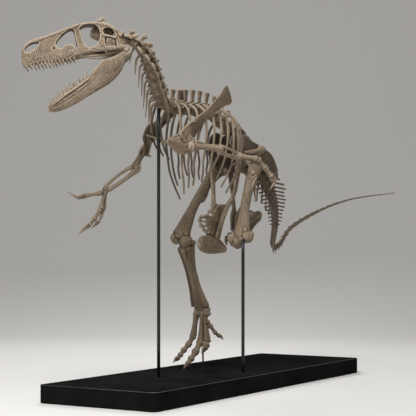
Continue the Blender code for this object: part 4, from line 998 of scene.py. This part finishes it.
hipSet = {"x": -0.36, "y": 0.16, "z": 2.18}
legSet = {
    "Left": {"turn": 1, "knee": (0.168, 0.375, 1.49), "shin": (0.200, 0.330, 1.435),
             "ankle": (-0.492, 0.150, 1.74), "face": (0.3, 0, -1), "ankleWide": 0.085, "bow": 0.035},
    "Right": {"turn": -1, "knee": (0.235, -0.29, 1.49), "shin": (0.150, -0.282, 1.445),
              "ankle": (-0.137, -0.26, 0.752), "face": (1, 0, 0), "ankleWide": 0.105, "bow": 0.062},
}
for side, leg in legSet.items():
    turn = leg["turn"]
    hip = Vector((hipSet["x"], turn * hipSet["y"], hipSet["z"]))
    knee, ankle, shinTop = Vector(leg["knee"]), Vector(leg["ankle"]), Vector(leg["shin"])
    out = Vector((0, turn, 0))
    thigh = (knee - hip).normalized()
    front = squareTo(Vector((1, 0, 0)), thigh)
    across = thigh.cross(front)
    top = hip + out * 0.065 - thigh * 0.03
    parts = shaft(top, knee, (0.080, 0.068), (0.051, 0.047), (0.062, 0.100), front * leg["bow"], front, 20)
    parts += tube([(*(top + thigh * 0.05 + out * 0.01), 0.054, 0.050), (*(hip - out * 0.005), 0.050, 0.048),
                   (*(hip - out * 0.045), 0.040, 0.038)], front, 14, 4, 0.8)
    for name in ("thighFront", "thighBack"):
        parts += crest(name, top, thigh, front, across)
    # pulley of the knee, with a groove between its two rollers, and a knob at each side
    pulley = [(*(knee + across * (0.108 * share) - front * 0.022), r, r) for share, r in
              ((-1.0, 0.034), (-0.80, 0.056), (-0.52, 0.067), (-0.22, 0.054), (0.0, 0.044), (0.22, 0.054),
               (0.52, 0.067), (0.80, 0.056), (1.0, 0.034))]
    parts += tube(pulley, front, 20, 4, 0.3)
    for k in (1, -1):
        parts += tube([(*(knee + across * (0.058 * k) + front * 0.020 - thigh * 0.12), 0.022, 0.014),
                       (*(knee + across * (0.066 * k) + front * 0.034 - thigh * 0.02), 0.028, 0.022)], front,
                      10, 3, 0.7)
        parts += lump(knee + across * (0.112 * k) - front * 0.020 - thigh * 0.012, (0.026, 0.010, 0.024),
                      thigh, front)
    meltedBone(parts, "thighBone" + side, (0.004, 4, 0.006, 0.002), legBone, ["femur_" + side.lower()],
               "pale_bone")

    shin = (ankle - shinTop).normalized()
    face = squareTo(Vector(leg["face"]), shin)
    wide = shin.cross(face)
    head = shinTop + shin * 0.03
    foot = leg["ankleWide"]
    parts = shaft(head, ankle - shin * 0.03, (0.084, 0.088), (0.048, 0.045), (0.041, foot * 0.97),
                  face * 0.012, face, 20)
    parts += crest("shin", head, face, shin, wide)
    for k in (1, -1):
        parts += lump(head + wide * (0.050 * k) - face * 0.026 - shin * 0.004, (0.034, 0.044, 0.052), shin,
                      face)
        parts += lump(ankle + wide * (foot * 0.50 * k) + face * 0.006 - shin * 0.004, (0.036, 0.042, 0.046),
                      shin, face)
    parts += tube([(*(ankle - shin * 0.14 + face * 0.034 + wide * 0.02), 0.006, 0.012),
                   (*(ankle - shin * 0.02 + face * 0.034), 0.012, 0.040)],
                  face, 10, 3, 0.5)
    meltedBone(parts, "shinBone" + side, (0.004, 4, 0.005, 0.002), legBone, ["tibia_" + side.lower()],
               "pale_bone")
    outer = wide if wide.dot(out) > 0 else -wide
    begin = head + shin * 0.03 + outer * 0.096 - face * 0.01
    end = ankle - shin * 0.055 + outer * (foot * 0.86) + face * 0.022
    # the splint bones, lying behind the shins, take the dark bone copy: painted shade
    fibula = meshFrom(shaft(begin, end, (0.043, 0.018), (0.017, 0.016), (0.022, 0.019), outer * -0.024, face,
                            12), "splintBone" + side)
    roughen(fibula, 0.004, 0.0015)
    setInPlace(fibula, shadedBone, ["fibula_" + side.lower()], "dark_bone")
print("stage legs")


# toes and fingers are separate knuckled bones with hooked claws
fingerSet = {"thicker": 1.08}


def phalanx(a, b, r, up=(0, 0, 1)):
    r = r * fingerSet["thicker"]
    a, b = Vector(a), Vector(b)
    way = (b - a).normalized()
    rows = []
    for t, wide, tall in ((0.03, 0.86, 0.86), (0.10, 1.06, 1.02), (0.28, 0.80, 0.78), (0.5, 0.66, 0.64),
                          (0.72, 0.72, 0.68), (0.88, 1.00, 0.90), (0.97, 0.90, 0.86)):
        rows.append((*a.lerp(b, t), r * tall, r * wide))
    return tube(rows, up, 12, 3, 0.4)


def claw(a, b, c, r, flat=0.6, up=(0, 0, 1)):
    a, b, c = Vector(a), Vector(b), Vector(c)
    rows = [(*a.lerp(b, 0.04), r * 0.95, r * flat * 1.15), (*a.lerp(b, 0.3), r * 1.15, r * flat * 1.05),
            (*b, r * 0.80, r * flat * 0.80), (*b.lerp(c, 0.5), r * 0.44, r * flat * 0.46),
            (*c, 0.0025, 0.0022)]
    return tube(rows, up, 12, 5, 0.5)


def toe(points, r, tip, flat=0.6, up=(0.5, 0, 1)):
    parts = []
    for i, (a, b) in enumerate(zip(points, points[1:])):
        parts += phalanx(a, b, r * 0.93 ** i, up)
    return parts + claw(points[-1], tip[0], tip[1], r * 0.93 ** (len(points) - 1), flat, up)


plinthTop = 0.165  # the claws touch down here
rightFoot = {
    "bones": (((-0.125, -0.233, 0.735), (-0.128, -0.198, 0.445)),
              ((-0.120, -0.243, 0.735), (-0.100, -0.262, 0.430)),
              ((-0.118, -0.317, 0.735), (-0.082, -0.338, 0.485))),
    "toes": [([(-0.105, -0.262, 0.432), (-0.020, -0.272, 0.330), (0.035, -0.290, 0.262),
               (0.070, -0.300, 0.220)], 0.039,
              [(0.098, -0.312, 0.200), (0.128, -0.322, plinthTop + 0.0015)]),
             ([(-0.085, -0.338, 0.488), (-0.035, -0.362, 0.405), (0.020, -0.388, 0.345),
               (0.062, -0.402, 0.300), (0.095, -0.410, 0.268)],
              0.035, [(0.130, -0.417, 0.260), (0.168, -0.423, 0.222)]),
             ([(-0.130, -0.198, 0.448), (-0.095, -0.190, 0.395), (-0.060, -0.186, 0.365)], 0.037,
              [(-0.025, -0.184, 0.362), (0.005, -0.184, 0.315)]),
             ([(-0.132, -0.200, 0.640), (-0.150, -0.172, 0.590), (-0.205, -0.150, 0.520),
               (-0.250, -0.138, 0.490)], 0.026,
              [(-0.285, -0.128, 0.478), (-0.318, -0.119, 0.440)])],
}
ankle = Vector(legSet["Right"]["ankle"])
parts = lump(ankle + Vector((0.0, 0.0, -0.035)), (0.054, 0.102, 0.042))
for start, end in rightFoot["bones"]:
    parts += shaft(start, end, (0.042, 0.036), (0.029, 0.026), (0.039, 0.037))
for points, r, tip in rightFoot["toes"]:
    parts += toe(points, r, tip)
footShape = (0.0032, 3, 0.004, 0.0018)
meltedBone(parts, "footRight", footShape, paleBone, ["foot_right"], "pale_bone")

# the left foot is swung back, its toes hanging
leftFoot = {"knuckle": (-0.137, 0.165, 1.510), "spread": (0.048, 0.0, -0.048), "middleToe": 0.031,
            "sideToe": 0.027}
ankle = Vector(legSet["Left"]["ankle"])
knuckle = Vector(leftFoot["knuckle"])
way = (knuckle - ankle).normalized()
side = Vector((0, 1, 0))
face = way.cross(side).normalized()
parts = lump(ankle + way * 0.035, (0.046, 0.080, 0.042), way, face)
for k, out in enumerate(leftFoot["spread"]):
    start = ankle + way * 0.03 + side * out
    end = knuckle + side * (out * 1.15) - way * (0.0 if k == 1 else 0.03)
    parts += shaft(start, end, (0.041, 0.032), (0.027, 0.024), (0.037, 0.032), (0, 0, 0), face, 14)
    a = end + Vector((0.075, 0, -0.005)) + side * (out * 0.25)
    b = a + Vector((0.055, 0, -0.035)) + side * (out * 0.2)
    c = b + Vector((0.010, 0, -0.045))
    parts += toe([end, a, b], leftFoot["middleToe"] if k == 1 else leftFoot["sideToe"],
                 [c, c + Vector((-0.035, 0, -0.03))])
# the swung-back left foot, in shadow behind the pubic boot, takes the dark bone copy: painted shade
meltedBone(parts, "footLeft", footShape, shadedBone, ["foot_left"], "dark_bone")


armSet = {
    "Left": {"turn": 1, "elbow": (0.600, 0.385, 2.315), "wrist": (0.255, 0.378, 2.276), "fingers": [
        ([(0.160, 0.440, 2.240), (0.105, 0.475, 2.105)], [(0.100, 0.485, 2.04), (0.155, 0.482, 1.975)],
         0.0300),
        ([(0.109, 0.520, 2.250), (0.030, 0.565, 2.165), (-0.030, 0.600, 2.085)],
         [(-0.060, 0.625, 2.03), (0.00, 0.600, 1.955)], 0.0335),
        ([(0.110, 0.478, 2.225), (0.060, 0.530, 2.185), (0.015, 0.555, 2.160)],
         [(-0.01, 0.570, 2.14), (-0.030, 0.570, 2.095)], 0.0235)]},
    "Right": {"turn": -1, "elbow": (1.162, -0.20, 2.12), "wrist": (1.328, -0.406, 1.924), "fingers": [
        ([(1.375, -0.435, 1.885), (1.500, -0.505, 1.858)], [(1.560, -0.555, 1.840), (1.625, -0.625, 1.890)],
         0.0245),
        ([(1.385, -0.425, 1.735), (1.435, -0.465, 1.640), (1.460, -0.495, 1.590)],
         [(1.495, -0.53, 1.555), (1.527, -0.585, 1.49)], 0.0255),
        ([(1.350, -0.410, 1.745), (1.375, -0.425, 1.670), (1.395, -0.440, 1.62)],
         [(1.415, -0.465, 1.59), (1.435, -0.50, 1.555)], 0.019)]},
}
for side, arm in armSet.items():
    turn = arm["turn"]
    shoulder = Vector((0.915, turn * 0.250, 2.315))
    elbow, wrist = Vector(arm["elbow"]), Vector(arm["wrist"])
    upper = (elbow - shoulder).normalized()
    high = squareTo(Vector((0, 0, 1)), upper)
    parts = shaft(shoulder, elbow, (0.056, 0.043), (0.030, 0.029), (0.037, 0.051), (0, 0, 0.010), high, 16)
    parts += crest("upperArm", shoulder, upper, high, upper.cross(high), 10, 0.6)
    for k in (1, -1):
        parts += lump(elbow + upper.cross(high) * (0.022 * k), (0.030, 0.022, 0.030), upper, high)
    # the left arm, on the lit near side, takes the bright bone copy: painted light
    finish = litBone if turn > 0 else paleBone
    meltedBone(parts, "upperArm" + side, (0.0032, 3, 0.003, 0.0015), litBone if turn > 0 else legBone,
               ["humerus_" + side.lower()], "pale_bone")
    fore = (wrist - elbow).normalized()
    lift = squareTo(Vector((0, 0, 1)), fore)
    parts = shaft(elbow - fore * 0.03 - lift * 0.024, wrist - lift * 0.020, (0.035, 0.027), (0.020, 0.019),
                  (0.022, 0.022), -lift * 0.008, lift, 14)
    parts += lump(elbow - fore * 0.035 - lift * 0.014, (0.026, 0.020, 0.026), fore, lift)
    meltedBone(parts, "ulna" + side, (0.003, 2, 0.003, 0.0015), finish, ["ulna_" + side.lower()], "pale_bone")
    radius = meshFrom(shaft(elbow + fore * 0.012 + lift * 0.026, wrist + lift * 0.020, (0.021, 0.021),
                            (0.0135, 0.0135), (0.018, 0.018), lift * 0.012, lift, 12), "radius" + side)
    roughen(radius, 0.003, 0.0012)
    setInPlace(radius, finish, ["radius_" + side.lower()], "pale_bone")
    parts = lump(wrist, (0.032, 0.032, 0.030))
    for joints, tip, r in arm["fingers"]:
        parts += toe([tuple(wrist)] + joints, r, tip, 0.5, (0.1, 0.05, 1))
    meltedBone(parts, "hand" + side, (0.0026, 2, 0.002, 0.001), finish, ["hand_" + side.lower()], "pale_bone")
print("stage arms")


hipBlade = {
    "out": 0.150,
    "top": [(-0.03, 2.43), (-0.07, 2.50), (-0.18, 2.545), (-0.32, 2.52), (-0.50, 2.475), (-0.70, 2.43),
            (-0.90, 2.37), (-1.02, 2.23)],
    "low": [(-0.06, 2.36), (-0.11, 2.30), (-0.18, 2.17), (-0.28, 2.215), (-0.44, 2.215), (-0.53, 2.17),
            (-0.72, 2.20), (-0.98, 2.13)],
}
for side, turn in (("Left", 1), ("Right", -1)):
    y = turn * hipBlade["out"]
    rings = []
    for i, ((xt, zt), (xl, zl)) in enumerate(zip(hipBlade["top"], hipBlade["low"])):
        thick = 0.012 + (0.022 if i in (2, 5) else 0.014 if i in (3, 4) else 0.0)
        inner = y - turn * 0.022
        xm, zm = xl * 0.55 + xt * 0.45, zl * 0.55 + zt * 0.45
        rings.append([(xt, inner - turn * 0.011, zt), (xt, inner + turn * 0.011, zt),
                      (xm, y + turn * 0.008, zm), (xl, y + turn * (thick + 0.006), zl + 0.01),
                      (xl, y - turn * thick, zl), (xm, y - turn * 0.018, zm)])
    parts = skin(rings, 5, 3)
    parts += tube([(x, y - turn * 0.020, z - 0.006, 0.012, 0.014) for x, z in hipBlade["top"]], (0, 0, 1), 10,
                  5, 0.6)
    parts += tube([(-0.205, y + turn * 0.01, 2.19, 0.024, 0.022),
                   (-0.26, y + turn * 0.012, 2.235, 0.016, 0.024),
                   (-0.36, y + turn * 0.014, 2.255, 0.016, 0.026),
                   (-0.46, y + turn * 0.012, 2.235, 0.016, 0.024),
                   (-0.51, y + turn * 0.01, 2.19, 0.024, 0.022)], (0, 0, 1), 10, 5, 0.6)
    # thick bar along the blade, ending in a knob
    bar = tube([(-0.270, y + turn * 0.010, 2.360, 0.016, 0.018),
                (-0.420, y + turn * 0.018, 2.375, 0.023, 0.026),
                (-0.570, y + turn * 0.022, 2.400, 0.030, 0.028)], (0, 0, 1), 14, 6, 0.6)
    bar += lump((-0.612, y + turn * 0.014, 2.415), (0.050, 0.042, 0.045))
    bar += lump((-0.540, y + turn * 0.020, 2.372), (0.030, 0.026, 0.026))
    # the hip blades take the dark bone copy: painted shade, as their faces lie in shadow
    meltedBone(parts, "hipBlade" + side, (0.004, 3, 0.004, 0.002), shadedBone, ["ilium_" + side.lower()],
               "pale_bone")
    meltedBone(bar, "hipBar" + side, (0.0035, 2, 0.003, 0.0015), paleBone, [], "pale_bone")

# bend: where the left (1) and right (-1) shaft turns inward
# apron: x, z and size of the knobs along the torn edge of the thin bone in front
pubisSet = {
    "bend": {1: (-0.112, 0.128), -1: (-0.090, 0.100)},
    "plate": [(-0.070, 0, 1.825, 0.008, 0.062), (-0.040, 0, 1.74, 0.010, 0.062),
              (-0.005, 0, 1.62, 0.011, 0.042), (0.04, 0, 1.48, 0.018, 0.022)],
    "boot": [(0.350, 0, 1.41, 0.036, 0.022), (0.30, 0, 1.418, 0.072, 0.038), (0.16, 0, 1.42, 0.095, 0.047),
             (0.0, 0, 1.405, 0.076, 0.043), (-0.12, 0, 1.38, 0.044, 0.029), (-0.165, 0, 1.37, 0.020, 0.015)],
    "apron": [(0.010, 1.830, 0.016), (0.065, 1.800, 0.020), (0.123, 1.748, 0.019), (0.190, 1.700, 0.021),
              (0.285, 1.690, 0.022), (0.325, 1.655, 0.018), (0.285, 1.605, 0.020), (0.222, 1.560, 0.021),
              (0.160, 1.520, 0.018), (0.085, 1.500, 0.020)],
}
parts = []
for turn, (bendX, bendY) in pubisSet["bend"].items():
    line = [(-0.165, 0.148, 2.195, 0.055, 0.025), (-0.146, 0.142, 2.10, 0.038, 0.021),
            (bendX, bendY, 1.93, 0.027, 0.020), (-0.050, 0.074, 1.78, 0.024, 0.026),
            (0.0, 0.040, 1.62, 0.026, 0.026), (0.05, 0.022, 1.46, 0.048, 0.021)]
    parts += tube(mirror(line, turn), (1, 0, 0), 14, 5, 0.5)
parts += tube(pubisSet["plate"], (1, 0, 0), 16, 5, 0.3)
parts += tube(pubisSet["boot"], (0, 0, 1), 18, 5, 0.7)
parts += lump((0.255, -0.006, 1.425), (0.098, 0.046, 0.084))
parts += lump((0.085, 0.010, 1.428), (0.098, 0.046, 0.062), (1, 0, 0.2))
rings = []
for k, (x, z, size) in enumerate(pubisSet["apron"]):
    root = Vector((-0.050 + 0.010 * k, 0, 1.79 - 0.034 * k))
    edge = Vector((x, -0.015, z))
    web = root.lerp(edge, 0.62)
    rings.append([(root.x, 0.012, root.z), (web.x, 0.006, web.z), (web.x, -0.016, web.z),
                  (root.x, -0.014, root.z)])
    parts += tube([(*root, 0.013, 0.011), (*root.lerp(edge, 0.6), 0.010, 0.010),
                   (*edge, size * 0.7, size * 0.6)], (0, 1, 0), 10, 3, 0.6)
    lean = Vector((1, random.uniform(-0.5, 0.5), random.uniform(-0.8, 0.8)))
    parts += lump(edge, (size * 1.25, size * 0.8, size), lean)
    spike = edge + lean.normalized() * size * 1.5
    parts += tube([(*edge, size * 0.6, size * 0.6), (*spike, size * 0.28, size * 0.28)], (0, 1, 0), 8, 2, 0.8)
    if k:
        parts += tube([(*before, 0.011, 0.011), (*edge, 0.011, 0.011)], (0, 1, 0), 8, 2, 0.5)
    before = edge
parts += skin(rings, 4, 2)
# the pubic bone takes the bright bone copy: painted light, as it lies in strong light
meltedBone(parts, "pubicBone", (0.0036, 3, 0.007, 0.003), litBone, ["pubis"], "pale_bone")

seatLine = [(-0.52, 0.152, 2.21, 0.050, 0.021), (-0.50, 0.130, 2.08, 0.040, 0.017),
            (-0.455, 0.085, 1.93, 0.024, 0.017), (-0.405, 0.045, 1.80, 0.028, 0.019),
            (-0.37, 0.026, 1.70, 0.056, 0.028), (-0.34, 0.018, 1.57, 0.034, 0.021)]
parts = []
for turn in (1, -1):
    parts += tube(mirror(seatLine, turn), (1, 0, 0), 14, 5, 0.6)
# the seat bones take the dark bone copy: painted shade
meltedBone(parts, "seatBone", (0.0038, 3, 0.004, 0.002), shadedBone, ["ischium"], "dark_bone")

# overlap runs the vertebrae into one another
sacrumSet = {"count": 5, "radius": 0.056, "overlap": 1.06,
             "form": {"spine": 0.125, "lean": 0.1, "spineLong": 0.95, "spineThick": 0.22, "wing": 0.072,
                      "wingRise": 0.15, "wingBack": 0.0, "waist": 0.85}}
sacrumPlaces = stations(sacrumLine, sacrumSet["count"])
parts = []
for i in range(sacrumSet["count"]):
    long = (sacrumPlaces[2 * i + 2][0] - sacrumPlaces[2 * i][0]).length
    parts += vertebra(sacrumPlaces[2 * i + 1], long * sacrumSet["overlap"], sacrumSet["radius"],
                      sacrumSet["form"])
# the hip vertebrae take the dark bone copy: painted shade
meltedBone(parts, "hipVertebrae", (0.004, 2, 0.004, 0.002), shadedBone, ["sacrum"], "dark_bone")
print("stage hips")


plinthSet = {"length": 4.08, "width": 1.25, "corner": 0.05, "cornerSteps": 10, "rimFrom": 0.158,
             "rimTo": 0.1649}


def roundedOutline(length, width, corner, steps):
    out = []
    for sx, sy, start in ((1, 1, 0), (-1, 1, 90), (-1, -1, 180), (1, -1, 270)):
        for k in range(steps + 1):
            a = math.radians(start + 90 * k / steps)
            out.append((sx * (length / 2 - corner) + corner * math.cos(a),
                        sy * (width / 2 - corner) + corner * math.sin(a)))
    return out


# height and inset of each line around the plinth: shadow gap, foot bevel, side, sheet edge, top bevel
plinthRings = [(0.0, 0.012), (0.004, 0.012), (0.0045, 0.002), (0.006, 0.0), (0.148, 0.0), (0.1485, 0.0012),
               (0.1497, 0.0012), (0.1502, 0.0), (0.1600, 0.0), (0.1626, 0.0008), (0.1644, 0.0026),
               (0.1650, 0.0052)]
rings = []
for z, inset in plinthRings:
    outline = roundedOutline(plinthSet["length"] - 2 * inset, plinthSet["width"] - 2 * inset,
                             plinthSet["corner"] - inset, plinthSet["cornerSteps"])
    rings.append([(x, y, z) for x, y in outline])
plinth = meshFrom(wrap(rings), "plinth")
setInPlace(plinth, plinthPaint, ["stand_base"], "plinth", False)
# the top bevel faces take the rim paint, painted lighter as a highlight along the edge
plinth.data.materials.append(plinthRimHighlight)
for face in plinth.data.polygons:
    if plinthSet["rimFrom"] < face.center.z < plinthSet["rimTo"] and abs(face.normal.z) < 0.98:
        face.material_index = 1
rodSet = {"stand_rod_chest": 0.0158, "stand_rod_knee": 0.0158, "stand_rod_foot": 0.0088}
for name, r in rodSet.items():
    low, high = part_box(name)
    x, y = (low[0] + high[0]) / 2, (low[1] + high[1]) / 2
    parts = tube([(x, y, low[2] + 0.0002, r, r), (x, y, (low[2] + high[2]) / 2, r, r),
                  (x, y, high[2] - 0.004, r, r)], (1, 0, 0), 24, 4, 0.0)
    parts += tube([(x, y, low[2] + 0.0002, r * 1.5, r * 1.5), (x, y, low[2] + 0.006, r * 1.5, r * 1.5)],
                  (1, 0, 0), 24, 2, 0.0)
    rod = meshFrom(parts, "rod" + name[9:].title().replace("_", ""))
    setInPlace(rod, rodPaint, [name], "rods")
print("stage stand")


roomSet = {"front": 14.0, "bend": -7.0, "radius": 8.0, "wall": 16.0, "side": 26.0, "turn": 31.44, "steps": 24,
           "colour": (0.72, 0.71, 0.69, 1)}


def room():
    # floor that curves up into a wall far behind
    bend, radius = roomSet["bend"], roomSet["radius"]
    curve = [math.pi / 2 * k / roomSet["steps"] for k in range(roomSet["steps"] + 1)]
    line = [(roomSet["front"], 0.0), (0.0, 0.0)]
    line += [(bend - radius * math.sin(a), radius - radius * math.cos(a)) for a in curve]
    line += [(bend - radius, roomSet["wall"])]
    turn = math.radians(roomSet["turn"])
    verts, faces = [], []
    for x, z in line:
        for y in (-roomSet["side"], roomSet["side"]):
            verts.append((x * math.cos(turn) - y * math.sin(turn), x * math.sin(turn) + y * math.cos(turn),
                          z - 0.0004))
    for i in range(len(line) - 1):
        faces.append((2 * i, 2 * i + 1, 2 * i + 3, 2 * i + 2))
    made = meshFrom([(verts, faces)], "floorSweep")
    made.data.shade_smooth()
    material, tree = nodeTree("palePaper")
    surface(tree, {"Base Color": roomSet["colour"], "Roughness": 0.85})
    made.data.materials.append(material)


room()


def areaLight(name, place, aim, size, power):
    data = bpy.data.lights.new(name, "AREA")
    data.energy = power
    data.size = size
    made = bpy.data.objects.new(name, data)
    made.location = place
    made.rotation_euler = (Vector(aim) - Vector(place)).to_track_quat("-Z", "Y").to_euler()
    bpy.context.scene.collection.objects.link(made)


# place, size and power of each soft light
lightSet = {"key": ((5.5, 1.0, 8.0), 2.6, 690), "fill": ((9.0, 8.0, 3.0), 4.0, 90),
            "rim": ((-5.0, -4.0, 7.0), 3.0, 300)}
for name, (place, size, power) in lightSet.items():
    areaLight(name, place, (0.0, 0.0, 1.8), size, power)
worldSet = {"colour": (1.0, 0.98, 0.95, 1), "strength": 0.34}
world = bpy.data.worlds.new("studio")
bpy.context.scene.world = world
world.use_nodes = True
world.node_tree.nodes["Background"].inputs[0].default_value = worldSet["colour"]
world.node_tree.nodes["Background"].inputs[1].default_value = worldSet["strength"]

cameraSet = {"place": (10.24, 6.15, 1.285), "heading": (-0.8532, -0.5216, 0.0), "lens": 102.98,
             "shift": 0.1202}
data = bpy.data.cameras.new("photoCamera")
data.sensor_width = 36.0
data.lens = cameraSet["lens"]
data.shift_y = cameraSet["shift"]
camera = bpy.data.objects.new("photoCamera", data)
camera.location = cameraSet["place"]
camera.rotation_euler = Vector(cameraSet["heading"]).to_track_quat("-Z", "Y").to_euler()
bpy.context.scene.collection.objects.link(camera)
bpy.context.scene.camera = camera
bpy.context.scene.view_settings.view_transform = "Standard"
